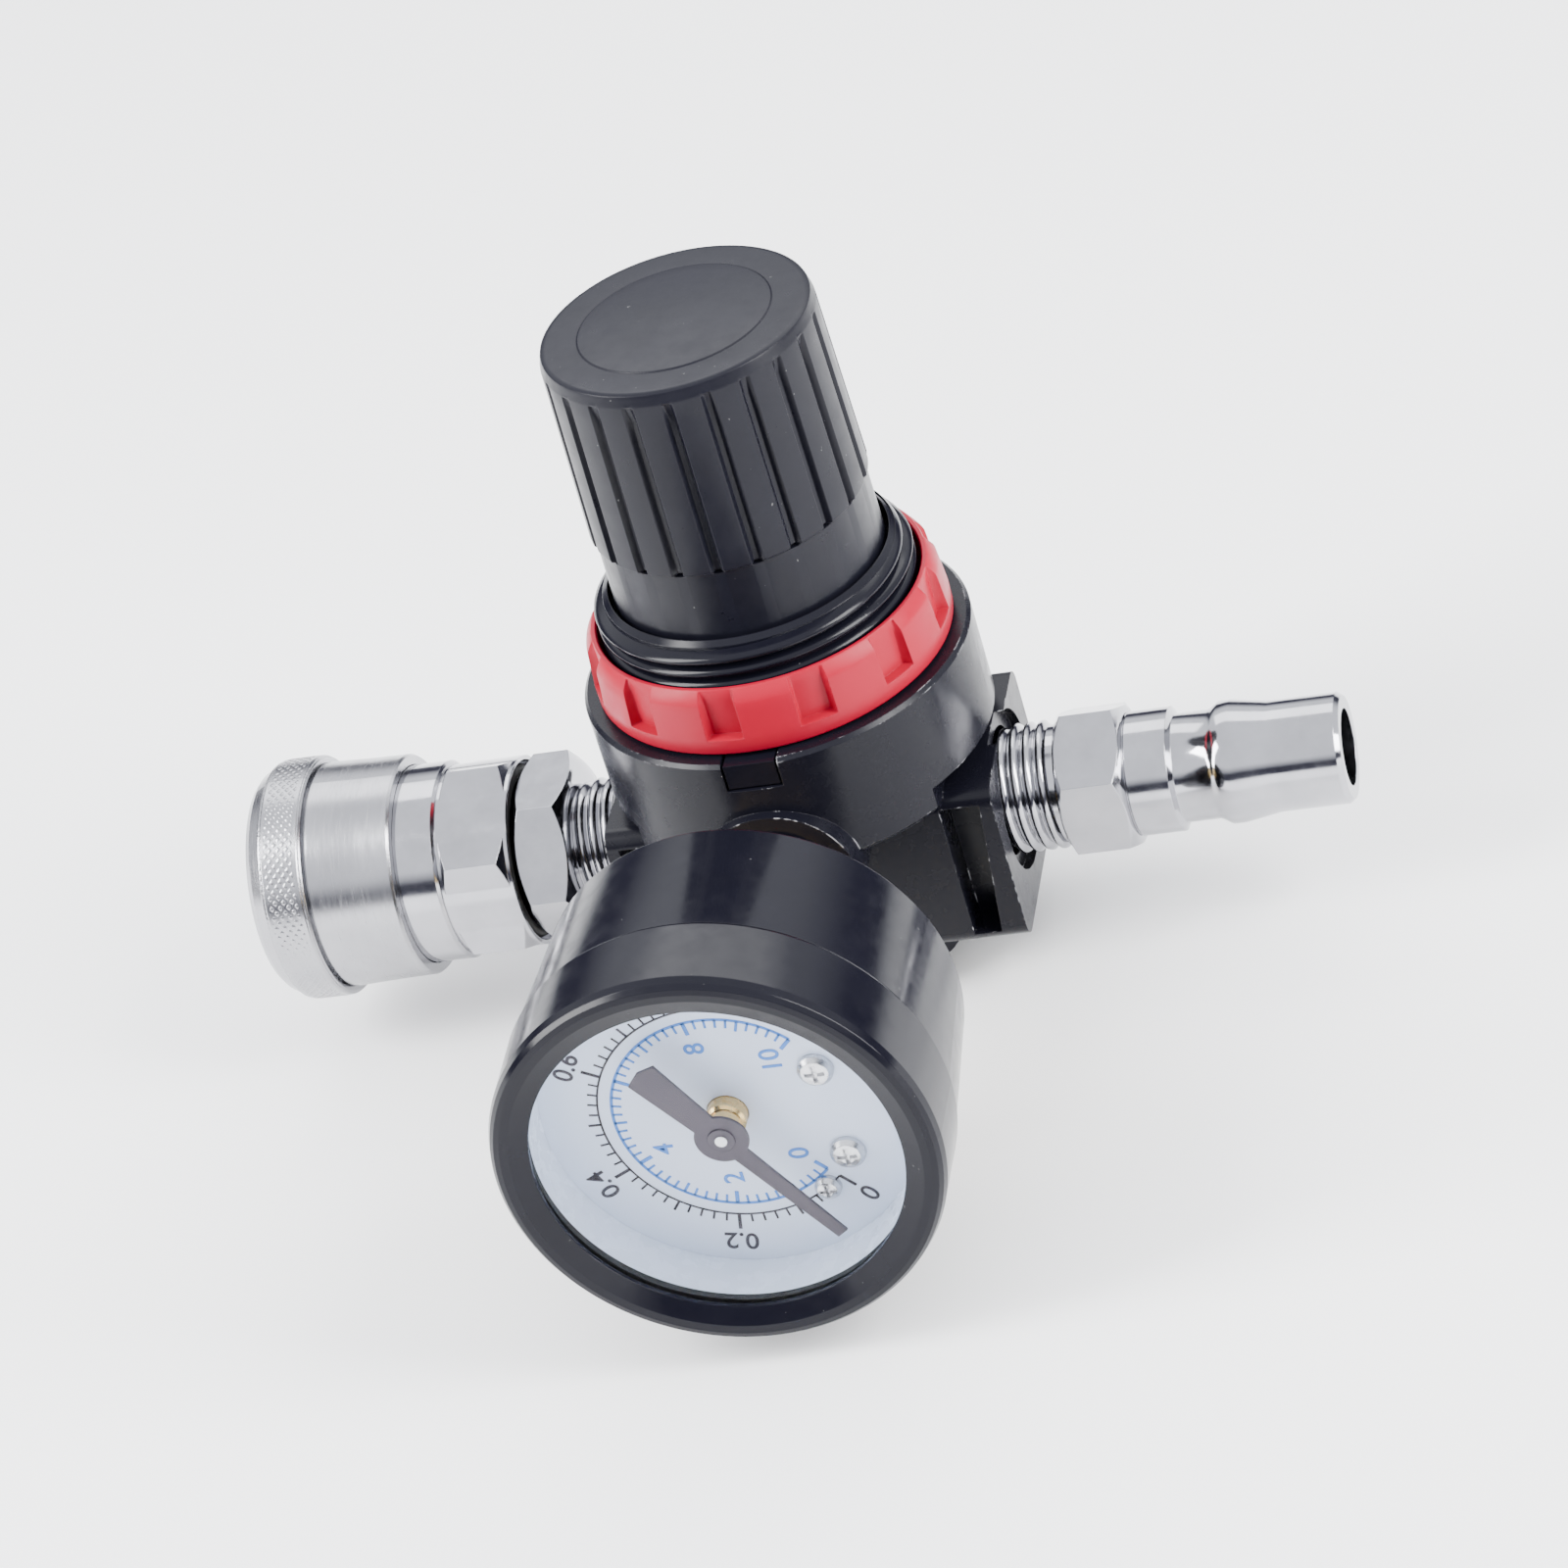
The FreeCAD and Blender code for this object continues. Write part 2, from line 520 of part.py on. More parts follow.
def sector_gear():
    """Toothed sector with its tail, built with its middle along +X and then turned into mesh."""
    y = (-50.2, -49.4)
    step = 360.0 / SECTOR_TEETH
    spare = 2
    count = int(round(SECTOR_SWING / step)) + 2 * spare + 1
    half = (count - 1) / 2.0
    reach = math.radians((half + 0.5) * step)
    far = SECTOR_R + 4
    corners = [V(0, y[0], 0), V(far, y[0], far * math.tan(reach)), V(far, y[0], -far * math.tan(reach))]
    wedge = Part.Face(Part.makePolygon(corners + corners[:1])).extrude(V(0, y[1] - y[0], 0))
    rim = tube("y", SECTOR_R - 0.32, SECTOR_R - 1.5, y[0], y[1]).common(wedge)
    arm = box((0, SECTOR_R - 1.0), y, (-0.7, 0.7))
    tail = box((-4.3, 0), y, (-0.8, 0.8))
    hub = rod("y", 1.5, y[0], y[1])
    teeth = [turned(gear_tooth(SECTOR_R, y[0], y[1]), "y", step * (i - half)) for i in range(count)]
    solid = rim.fuse([arm, tail, hub] + teeth)
    holes = [rod("y", 0.8, -51, -49), rod("y", 0.4, -51, -49, V(-LINK_ARM, 0, 0))]
    return placed_on_sector(solid.cut(holes))


def placed_on_sector(shape):
    """Place a shape built on the sector's own centre line at the sector's rest angle."""
    towards_pinion = 180.0 - SECTOR_PIVOT_ANGLE
    centre = sector_centre()
    return moved(turned(shape, "y", towards_pinion + SECTOR_SWING / 2), centre.x, 0, centre.z)


def sector_shaft():
    return rod("y", 0.8, -52.9, -45.7, V(sector_centre().x, 0, sector_centre().z))


def movement_plate(front_y, back_y, bore):
    """Brass movement plate with the pinion and sector bearings."""
    plate = box((-11.0, 6.5), (front_y, back_y), (-4.6, 7.6))
    plate = moved(plate, z=GAUGE_Z)
    holes = [rod("y", bore, -60, -40, V(0, 0, GAUGE_Z))]
    holes.append(rod("y", 0.8 + FIT, -60, -40, V(sector_centre().x, 0, sector_centre().z)))
    return plate.cut(holes)


def movement_rear_plate():
    return movement_plate(-46.4, -45.6, 0.6 + FIT)


def movement_front_plate():
    return movement_plate(-52.8, -52.0, 0.6 + FIT)


def movement_posts():
    """Pillars between the plates."""
    places = [(-10.1, -3.8), (5.4, -3.6), (5.4, 6.6)]
    return Part.makeCompound([rod("y", 0.7, -52.0, -46.4, V(x, 0, z + GAUGE_Z)) for x, z in places])


def hairspring():
    """Flat spiral of half turns, round the pointer shaft."""
    thickness, pitch = 0.14, 0.5
    strip = None
    for i in range(7):
        radius = 1.9 + pitch * i / 2
        side = 1 if i % 2 == 0 else -1
        centre = V(side * pitch / 4, 0, 0)
        half = tube("y", radius + thickness, radius, -48.4, -47.7, centre)
        keep = box((-9, 9), (-49, -47), (0, 9)) if side > 0 else box((-9, 9), (-49, -47), (-9, 0))
        piece = half.common(keep)
        strip = piece if strip is None else strip.fuse(piece)
    return on_gauge_axis(strip)


def bourdon_tube():
    """C-shaped flattened tube, from the stem's arm round to its tip."""
    outline = [V(14.25, -50.4, 0), V(15.75, -50.4, 0), V(15.75, -46.4, 0), V(14.25, -46.4, 0)]
    section = Part.makePolygon(outline + outline[:1])
    wall = [V(14.55, -50.1, 0), V(15.45, -50.1, 0), V(15.45, -46.7, 0), V(14.55, -46.7, 0)]
    hollow = Part.makePolygon(wall + wall[:1])
    sweep = Part.Face(section).revolve(V(0, 0, 0), AXES["y"], TUBE_SWEEP)
    inner = Part.Face(hollow).revolve(V(0, 0, 0), AXES["y"], TUBE_SWEEP - 5)
    return on_gauge_axis(turned(sweep.cut(inner), "y", -TUBE_END_ANGLE))


def tube_tip():
    """Plug on the end of the Bourdon tube."""
    block = box((13.7, 16.3), (-51.0, -45.8), (0, 2.6))
    return on_gauge_axis(turned(block, "y", -TUBE_END_ANGLE))


def sector_link():
    """Link from the sector's tail pin to an eye in front of the tube's tip."""
    pin = placed_on_sector(Part.Vertex(-LINK_ARM, 0, 0)).Point
    x, z = polar(15.0, TUBE_END_ANGLE + 5.0)
    reach = V(x - pin.x, 0, z + GAUGE_Z - pin.z)
    front, back = -51.7, -51.3
    bar = box((0, reach.Length), (front, back), (-0.45, 0.45))
    eye = tube("y", 0.8, 0.35, front, back, V(reach.Length, 0, 0))
    bar = bar.cut(rod("y", 0.35, front, back, V(reach.Length, 0, 0))).fuse(eye)
    bar = turned(bar, "y", -math.degrees(math.atan2(reach.z, reach.x)))
    solid = bar.fuse([rod("y", 0.8, front, back), rod("y", 0.35, front, -49.2)])
    return moved(solid, pin.x, 0, pin.z)


# ---- male plug ----

def inlet_plug():
    """Nickel-plated plug: thread, hexagon, step, ball groove and nose."""
    turned_part = lathe("x", [(10.2, 0), (10.2, 6.0), (10.8, 6.5), (25.2, 6.5), (25.2, 5.9),
                              (32.0, 5.9), (32.4, 6.3), (36.6, 6.3), (37.0, 5.5), (40.4, 5.5),
                              (41.6, 6.2), (42.8, 6.2), (46.5, PLUG_NOSE_R),
                              (PLUG_TIP_X - 0.5, PLUG_NOSE_R), (PLUG_TIP_X, 5.2), (PLUG_TIP_X, 0)])
    hexagon_part = chamfered_hexagon("x", PLUG_HEX, 25.2, 32.2, 0, 0.9)
    bore = lathe("x", [(9, 0), (9, 3.2), (41.0, 3.2), (42.0, PLUG_BORE_R), (PLUG_TIP_X + 1, PLUG_BORE_R),
                       (PLUG_TIP_X + 1, 0)])
    return on_port_axis(turned_part.fuse(hexagon_part).cut(bore))


# ---- female socket ----

def socket_adapter():
    """Adapter: pipe thread into the body, small hexagon, and thread into the socket."""
    profile = lathe("x", [(-10.2, 0), (-10.2, 6.0), (-10.8, 6.5), (-25.3, 6.5), (-25.3, 7.3),
                          (-33.0, 7.3), (-33.0, 8.0), (-36.9, 8.0), (-36.9, 0)])
    hexagon_part = chamfered_hexagon("x", ADAPTER_HEX, -25.3, -31.0, 90, 1.0)
    bore = lathe("x", [(-9, 0), (-9, 3.2), (VALVE_CHAMBER_X, 3.2), (VALVE_CHAMBER_X, 6.0),
                       (-38, 6.0), (-38, 0)])
    return on_port_axis(profile.fuse(hexagon_part).cut(bore))


def adapter_o_ring():
    ring = Part.makeTorus(8.3, 0.75, V(-32.1, 0, 0), AXES["x"])
    return on_port_axis(ring)


def socket_body():
    """Socket body: large hexagon, sleeve guide, and tube with the ball holes."""
    outside = lathe("x", [(-31.2, 0), (-31.2, 9.8), (-38.9, 9.8), (-38.9, GUIDE_R - 0.3),
                          (-39.2, GUIDE_R), (SHOULDER_X, GUIDE_R), (SHOULDER_X, SOCKET_TUBE_R),
                          (-55.2, SOCKET_TUBE_R), (-55.2, 8.25), (-55.95, 8.25),
                          (-55.95, SOCKET_TUBE_R), (SOCKET_FRONT_X + 0.4, SOCKET_TUBE_R),
                          (SOCKET_FRONT_X, SOCKET_TUBE_R - 0.4), (SOCKET_FRONT_X, 0)])
    hexagon_part = chamfered_hexagon("x", SOCKET_HEX, -31.2, -38.9, 0, 1.1)
    bore = lathe("x", [(-30, 0), (-30, 9.4), (-33.0, 9.4), (-33.0, 8.05), (-37.0, 8.05), (-37.0, 6.4),
                       (SEAT_X, 6.4), (SEAT_X, 4.75), (SEAT_X - 0.6, 4.75),
                       (SEAT_X - 0.6, SOCKET_NOSE_BORE_R), (-42.6, SOCKET_NOSE_BORE_R), (-42.6, 7.3),
                       (-44.2, 7.3), (-44.2, SOCKET_NOSE_BORE_R), (-45.4, SOCKET_NOSE_BORE_R),
                       (-49.1, SOCKET_BORE_R), (SOCKET_FRONT_X + 0.7, SOCKET_BORE_R),
                       (SOCKET_FRONT_X, 7.1), (SOCKET_FRONT_X - 1, 7.1), (SOCKET_FRONT_X - 1, 0)])
    hole = rod("z", BALL_R + FIT, 5.0, 10.0, V(BALL_X, 0, 0))
    return on_port_axis(outside.fuse(hexagon_part).cut([bore] + ring_of(hole, "x", BALLS)))


def lock_balls():
    ball = Part.makeSphere(BALL_R, V(BALL_X, 0, SOCKET_TUBE_R - BALL_R))
    return on_port_axis(Part.makeCompound(ring_of(ball, "x", BALLS)))


def sleeve_ring():
    """Snap ring that stops the sleeve."""
    ring = tube("x", 9.6, 8.3, -55.9, -55.25)
    return on_port_axis(ring.cut(box((-56, -54), (-0.8, 0.8), (0, 12))))


def socket_sleeve():
    """Sliding sleeve with a raised grip ring and a ball land."""
    profile = lathe("x", [(-43.3, GUIDE_R + FIT + 0.02), (-43.3, 11.3), (-43.6, 11.5),
                          (-47.0, 11.55), (-52.0, 11.75), (-52.3, 11.75), (-52.3, 11.3), (-52.6, 11.3),
                          (-52.6, 12.2), (-53.0, 12.55), (-56.8, 12.55), (-57.3, 12.2),
                          (-58.4, 11.6), (-59.0, 11.0), (-59.0, 10.1), (-55.1, 10.1),
                          (-55.1, SOCKET_TUBE_R + 0.1), (-51.3, SOCKET_TUBE_R + 0.1),
                          (-51.3, GUIDE_R + FIT + 0.02)])
    return on_port_axis(profile)


def sleeve_spring():
    spring = z_to_minus_x(coil(SLEEVE_SPRING, 0.05 - SHOULDER_X, 51.25))
    return on_port_axis(spring)


def shutoff_valve():
    """Valve that closes the socket: tail, disc, O-ring neck and a hollow nose that the plug pushes in."""
    profile = lathe("x", [(-31.8, 0), (-31.8, 2.2), (-32.2, 2.6), (-35.0, 2.6), (-35.0, 5.5),
                          (-36.0, 5.5), (-36.0, 4.2), (SEAT_X, 4.2), (SEAT_X, 4.3),
                          (VALVE_NOSE_X, 4.3), (VALVE_NOSE_X, 0)])
    hollow = rod("x", 3.3, VALVE_NOSE_X - 1, -37.9)
    ports = ring_of(rod("z", 1.0, 0, 7, V(-39.2, 0, 0)), "x", 4, 45)
    return on_port_axis(profile.cut([hollow] + ports))


def shutoff_o_ring():
    return on_port_axis(Part.makeTorus(4.82, 0.58, V((SEAT_X - 36.0) / 2, 0, 0), AXES["x"]))


def shutoff_spring():
    return on_port_axis(z_to_minus_x(coil(SHUTOFF_SPRING, 0.05 - VALVE_CHAMBER_X, 34.95)))


def packing_ring():
    """Rubber packing that seals on the plug's nose."""
    ring = lathe("x", [(-42.65, 6.0), (-42.65, 7.25), (-44.15, 7.25), (-44.15, 6.0), (-43.4, 5.7)])
    return on_port_axis(ring)


PIECES = [
    body_casting, bottom_cap, bottom_cap_o_ring, rear_port_plug, bonnet, panel_nut, knob,
    adjusting_screw, adjusting_nut, setting_spring, diaphragm, diaphragm_plate, valve_stem,
    valve_poppet, valve_seat_rubber, valve_spring, gauge_stem, gauge_case, gauge_bezel,
    gauge_window, window_gasket, dial_ring, dial_plate, dial_screws, shaft_bushing, pointer,
    pointer_shaft, sector_gear, sector_shaft, movement_rear_plate, movement_front_plate,
    movement_posts, hairspring, bourdon_tube, tube_tip, sector_link, inlet_plug,
    socket_adapter, adapter_o_ring, socket_body, lock_balls, sleeve_ring, socket_sleeve,
    sleeve_spring, shutoff_valve, shutoff_o_ring, shutoff_spring, packing_ring,
]


def main():
    os.makedirs("parts", exist_ok=True)
    for piece in PIECES:
        shape = piece()
        box_now = shape.BoundBox
        print("%-22s solids %d valid %s volume %9.2f  x %6.1f %6.1f y %6.1f %6.1f z %6.1f %6.1f" % (
            piece.__name__, len(shape.Solids), shape.isValid(), shape.Volume, box_now.XMin,
            box_now.XMax, box_now.YMin, box_now.YMax, box_now.ZMin, box_now.ZMax))
        shape.exportStep("parts/%s.step" % piece.__name__)


main()
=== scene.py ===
"""Looks of the carbon dioxide regulator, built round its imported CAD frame. Metres, same frame."""
import json
import math

import bmesh
import bpy
from mathutils import Matrix, Vector

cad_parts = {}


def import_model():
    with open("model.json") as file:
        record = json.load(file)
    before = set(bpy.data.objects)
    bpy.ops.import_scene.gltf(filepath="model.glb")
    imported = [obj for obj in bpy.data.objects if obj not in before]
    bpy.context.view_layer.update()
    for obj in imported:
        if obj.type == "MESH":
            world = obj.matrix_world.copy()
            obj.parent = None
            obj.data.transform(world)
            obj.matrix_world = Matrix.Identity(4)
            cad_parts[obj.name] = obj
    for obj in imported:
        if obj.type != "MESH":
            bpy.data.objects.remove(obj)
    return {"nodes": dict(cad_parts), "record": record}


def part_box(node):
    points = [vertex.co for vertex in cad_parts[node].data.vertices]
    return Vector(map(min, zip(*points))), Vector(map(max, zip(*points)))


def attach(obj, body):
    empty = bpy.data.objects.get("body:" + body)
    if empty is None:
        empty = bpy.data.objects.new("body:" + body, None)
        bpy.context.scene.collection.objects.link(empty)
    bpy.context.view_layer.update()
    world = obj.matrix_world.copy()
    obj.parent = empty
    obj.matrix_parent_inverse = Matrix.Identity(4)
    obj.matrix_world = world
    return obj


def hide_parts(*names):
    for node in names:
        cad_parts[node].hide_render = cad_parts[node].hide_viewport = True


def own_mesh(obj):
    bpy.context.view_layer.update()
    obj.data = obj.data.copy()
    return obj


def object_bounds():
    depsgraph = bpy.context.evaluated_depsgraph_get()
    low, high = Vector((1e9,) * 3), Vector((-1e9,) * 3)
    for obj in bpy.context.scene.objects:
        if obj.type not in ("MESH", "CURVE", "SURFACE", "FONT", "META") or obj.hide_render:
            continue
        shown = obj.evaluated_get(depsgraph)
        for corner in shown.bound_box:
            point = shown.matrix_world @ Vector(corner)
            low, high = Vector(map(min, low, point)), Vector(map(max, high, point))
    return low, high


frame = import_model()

MM = 0.001
CAD_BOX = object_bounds()
ROOT = "regulator_body"                  # body that the fixed pieces ride on


def middle_z(node):
    """Height of the middle of a CAD node."""
    low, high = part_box(node)
    return (low.z + high.z) / 2


# ---- places taken from the frame ----
PORT_Z = middle_z("socket_sleeve")
GAUGE_Z = middle_z("gauge_case")
DIAL_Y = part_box("dial_plate")[0].y
KNOB_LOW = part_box("knob")[0].z
NUT_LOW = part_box("panel_nut")[0].z
NUT_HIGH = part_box("panel_nut")[1].z
DIAPHRAGM_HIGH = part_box("diaphragm")[1].z
SLOT_OF = {part["node"]: part["material_slot"] for part in frame["record"]["subparts"]}

# ---- knob ----
KNOB_RIB_LOW = PORT_Z + 39.0 * MM
KNOB_GROOVE_HIGH = PORT_Z + 58.3 * MM
KNOB_TOP = PORT_Z + 59.6 * MM
KNOB_ROOF = KNOB_TOP - 2.4 * MM          # underside of the top disc
KNOB_RIB_R = 14.17 * MM
KNOB_DRAFT = 0.42 * MM                   # ribs lean in by this much, low to high
KNOB_BORE_R = 12.3 * MM
KNOB_DOME_R = 9.3 * MM
KNOB_DOME_STEP = 0.16 * MM
KNOB_DOME_RISE = 0.39 * MM
KNOB_GROOVES = 22
KNOB_GROOVE_TURN = math.radians(-85.5)
KNOB_GROOVE_HALF = math.radians(1.15)
KNOB_GROOVE_SIDE = math.radians(1.3)
KNOB_GROOVE_DEPTH = 0.6 * MM

# ---- red panel nut ----
NUT_R = 18.33 * MM
NUT_DRAFT = 0.3 * MM
NUT_BORE_R = 16.6 * MM
NUT_POCKETS = 12
NUT_POCKET_TURN = math.radians(-6.0)
NUT_POCKET_HALF = math.radians(5.4)
NUT_POCKET_SIDE = math.radians(0.5)
NUT_POCKET_R = 17.2 * MM
NUT_POCKET_LOW = NUT_LOW + 1.8 * MM

# ---- threads ----
BONNET_ROOT_R = 15.0 * MM
BONNET_CREST_R = 16.2 * MM
BONNET_PITCH = 1.45 * MM
BONNET_SHELF = NUT_HIGH + 1.0 * MM       # the outside narrows above this height
BONNET_TOP = PORT_Z + 31.4 * MM
PIPE_ROOT_R = 6.0 * MM
PIPE_CREST_R = 6.55 * MM
PIPE_PITCH = 1.34 * MM
PIPE_BLANK_R = (6.3 * MM, 6.6 * MM)      # the plain cylinder that the thread replaces
PIPE_BLANK_X = (10.5 * MM, 25.6 * MM)
RIDGE = ((-0.50, 0.0), (-0.30, 0.60), (-0.13, 0.96), (0.0, 1.0), (0.13, 0.96), (0.30, 0.60), (0.50, 0.0))
RIDGE_STEPS = 120                        # per turn
RIDGE_FADE = 40                          # steps over which a ridge grows at each end

# ---- knurl on the sleeve ----
KNURL_X = (-57.15 * MM, -52.75 * MM)
KNURL_R = 12.42 * MM
KNURL_DEPTH = 0.16 * MM
KNURL_STARTS = 72
KNURL_SWING = 0.42                       # radians that each ridge turns over the ring
KNURL_ROWS = 36
KNURL_SEGMENTS = 576
KNURL_FADE = 6                           # it grows over a sixth of its width at each side
KNURL_STEEPNESS = 1.7                    # above 1, the ridges have flat tops

# ---- dial print ----
SCALE_ZERO = -46.0                       # degrees, from +X towards +Z
SCALE_SWEEP = 270.0                      # clockwise, seen from the front
SCALE_DIVISIONS = 50
OUTER_SCALE_R = 12.35 * MM
INNER_SCALE_R = 11.0 * MM
OUTER_NUMBERS = ("0", "0.2", "0.4", "0.6", "0.8", "1")
INNER_NUMBERS = ("0", "2", "4", "6", "8", "10")
OUTER_NUMBER_R = 15.6 * MM
INNER_NUMBER_R = 7.9 * MM
NUMBER_SIZE = 2.75 * MM
NUMBER_BOLD = 0.035 * MM
PRINT_LIFT = 0.03 * MM                   # the print stands this far off the dial
PRINT_THICK = 0.02 * MM

# ---- diaphragm ----
DIAPHRAGM_THICK = 0.65 * MM
DIAPHRAGM_HOLE_R = 2.45 * MM
DIAPHRAGM_R = 16.7 * MM
DIAPHRAGM_SEAM_R = 10.4 * MM             # the moving middle ends here, just outside the plate
DIAPHRAGM_SEAM_GAP = 0.005 * MM
DIAPHRAGM_ROLL = 0.55 * MM
DIAPHRAGM_SEGMENTS = 96

# ---- springs: joint, axis, its letter, end that stays, travel in millimetres ----
SPRINGS = {
    "setting_spring": ("spring_setting", (0, 0, 1), "z", "low", 6.25),
    "valve_spring": ("valve_travel", (0, 0, 1), "z", "low", 0.61),
    "sleeve_spring": ("sleeve_slide", (1, 0, 0), "x", "high", 4.0),
    "shutoff_spring": ("shutoff_slide", (1, 0, 0), "x", "high", 3.5),
}

# ---- studio and camera ----
FLOOR_DROP = 0.5 * MM                    # the floor lies this far under the part
FLOOR_HALF = 3.0
WORLD_STRENGTH = 2.1
LIGHT_TARGET = (0, 0, 0.03)
LIGHTS = {                               # place, width, height, power
    "left_box": ((-0.55, -0.25, 0.45), 0.26, 0.60, 12.0),
    "right_box": ((0.60, -0.15, 0.40), 0.26, 0.60, 12.0),
    "back_box": ((0.0, 0.55, 0.70), 0.9, 0.4, 4.0),
}
CAMERA_PLACE = (0.14470, -0.45353, 0.33345)
CAMERA_RIGHT = Vector((0.95782, 0.14028, -0.25079))
CAMERA_DOWN = Vector((-0.12264, -0.58968, -0.79827))
CAMERA_FORWARD = Vector((-0.25987, 0.79536, -0.54761))
SENSOR_WIDTH = 36.0                      # millimetres, as Blender takes it
LENS = 129.08                            # millimetres


# ---- materials ----

EDGE_ROUND = 0.14 * MM                   # apparent rounding of hard edges


class Shader:
    """Node tree of one material, with short calls for the nodes that it uses."""

    def __init__(self, name):
        self.material = bpy.data.materials.new(name)
        self.material.use_nodes = True
        self.tree = self.material.node_tree
        self.bsdf = self.tree.nodes["Principled BSDF"]
        self.place = self.tree.nodes.new("ShaderNodeTexCoord").outputs["Object"]

    def node(self, kind, **inputs):
        """New node, with input values given by name."""
        made = self.tree.nodes.new(kind)
        for name, value in inputs.items():
            made.inputs[name.replace("_", " ")].default_value = value
        return made

    def link(self, output, target):
        """Joins a node's output to an input."""
        self.tree.links.new(output, target)

    def feed(self, name, output):
        """Drives one input of the surface."""
        self.link(output, self.bsdf.inputs[name])

    def noise(self, scale, detail=4.0, roughness=0.55, stretch=(1, 1, 1)):
        """Noise with scale features per millimetre."""
        mapping = self.node("ShaderNodeMapping")
        mapping.inputs["Scale"].default_value = [s / MM for s in stretch]
        self.link(self.place, mapping.inputs["Vector"])
        noise = self.node("ShaderNodeTexNoise", Scale=scale, Detail=detail, Roughness=roughness)
        self.link(mapping.outputs["Vector"], noise.inputs["Vector"])
        return noise.outputs["Fac"]

    def ramp(self, fac, low, high):
        """Grey ramp between two (position, grey) stops."""
        ramp = self.node("ShaderNodeValToRGB")
        for element, (position, grey) in zip(ramp.color_ramp.elements, (low, high)):
            element.position = position
            element.color = (grey, grey, grey, 1)
        self.link(fac, ramp.inputs["Fac"])
        return ramp.outputs["Color"]

    def mix(self, fac, low, high):
        """Blend of two colours, each a tuple or another node's output."""
        mixed = self.node("ShaderNodeMix")
        mixed.data_type = "RGBA"
        self.link(fac, mixed.inputs[0])
        for socket, value in ((mixed.inputs[6], low), (mixed.inputs[7], high)):
            if isinstance(value, tuple):
                socket.default_value = (*value, 1)
            else:
                self.link(value, socket)
        return mixed.outputs[2]

    def rounded(self, radius):
        """Normal that rounds hard edges off."""
        bevel = self.node("ShaderNodeBevel", Radius=radius)
        bevel.samples = 4
        return bevel.outputs["Normal"]

    def bump(self, height, strength, distance):
        """Relief of the surface, over rounded edges."""
        bump = self.node("ShaderNodeBump", Strength=strength, Distance=distance)
        self.link(height, bump.inputs["Height"])
        self.link(self.rounded(EDGE_ROUND), bump.inputs["Normal"])
        self.feed("Normal", bump.outputs["Normal"])

    def worn_edges(self, radius, share):
        """Mask of the edges, broken up by noise; share is how much of them is worn."""
        match = self.node("ShaderNodeVectorMath")
        match.operation = "DOT_PRODUCT"
        self.link(self.rounded(radius), match.inputs[0])
        self.link(self.node("ShaderNodeNewGeometry").outputs["Normal"], match.inputs[1])
        edge = self.ramp(match.outputs["Value"], (0.80, 1.0), (0.95, 0.0))
        patch = self.ramp(self.noise(0.35, 6.0, 0.7), (0.60 - share, 0.0), (0.66 - share, 1.0))
        return self.mix(patch, (0.0, 0.0, 0.0), edge)

    def done(self, **inputs):
        """Sets the constant inputs of the surface and hands the material over."""
        for name, value in inputs.items():
            self.bsdf.inputs[name.replace("_", " ")].default_value = value
        return self.material


def moulded(name, low, high, rough, grain, shine=0.5, dust=0.0):
    """Moulded plastic or paint: slight colour drift, fine grain and, with dust, a few paler specks."""
    s = Shader(name)
    colour = s.mix(s.noise(0.12), low, high)
    if dust:
        speck = s.ramp(s.noise(1.9, 2.0, 0.4), (0.775, 0.0), (0.80, 1.0))
        colour = s.mix(speck, colour, (dust, dust, dust))
    s.feed("Base Color", colour)
    s.feed("Roughness", s.ramp(s.noise(0.5, 5.0), (0.3, rough - 0.05), (0.7, rough + 0.06)))
    s.bump(s.noise(9.0, 3.0), grain, 0.03 * MM)
    return s.done(Specular_IOR_Level=shine)


def metal(name, low, high, rough, stretch=(1, 1, 1), brush=0.25, scale=1.2):
    """Metal with faint tarnish and tool marks, finer along a direction with a larger stretch. On nickel the
    colour drift is also painted mottled reflection.
    """
    s = Shader(name)
    # colour drift: tarnish, and on nickel also painted mottled reflection
    s.feed("Base Color", s.mix(s.noise(0.18), low, high))
    marks = s.noise(scale, 6.0, 0.65, stretch)
    s.feed("Roughness", s.ramp(marks, (0.25, rough - 0.04), (0.75, rough + 0.09)))
    s.bump(marks, brush, 0.012 * MM)
    return s.done(Metallic=1.0)


def painted_casting():
    """Black paint over a casting: satin, with slight orange peel and bare metal on worn edges."""
    s = Shader("painted_casting")
    paint = s.mix(s.noise(0.1), (0.003, 0.003, 0.006), (0.007, 0.007, 0.011))
    s.feed("Base Color", s.mix(s.worn_edges(0.25 * MM, 0.06), paint, (0.50, 0.50, 0.52)))
    s.feed("Roughness", s.ramp(s.noise(0.4, 5.0), (0.3, 0.20), (0.7, 0.31)))
    s.bump(s.noise(0.9, 3.0), 0.12, 0.05 * MM)
    return s.done(Specular_IOR_Level=0.17)


def clear_window():
    """Clear plastic that bends light very little."""
    s = Shader("clear_window")
    s.feed("Roughness", s.ramp(s.noise(0.3), (0.3, 0.02), (0.7, 0.04)))
    s.feed("Base Color", s.mix(s.noise(0.1), (0.97, 0.98, 1.0), (1.0, 1.0, 1.0)))
    return s.done(Transmission_Weight=1.0, IOR=1.12)


def floor_paint():
    """Nearly white, matt floor."""
    s = Shader("floor")
    s.feed("Base Color", s.ramp(s.noise(0.01), (0.3, 0.97), (0.7, 0.98)))
    return s.done(Roughness=0.8)


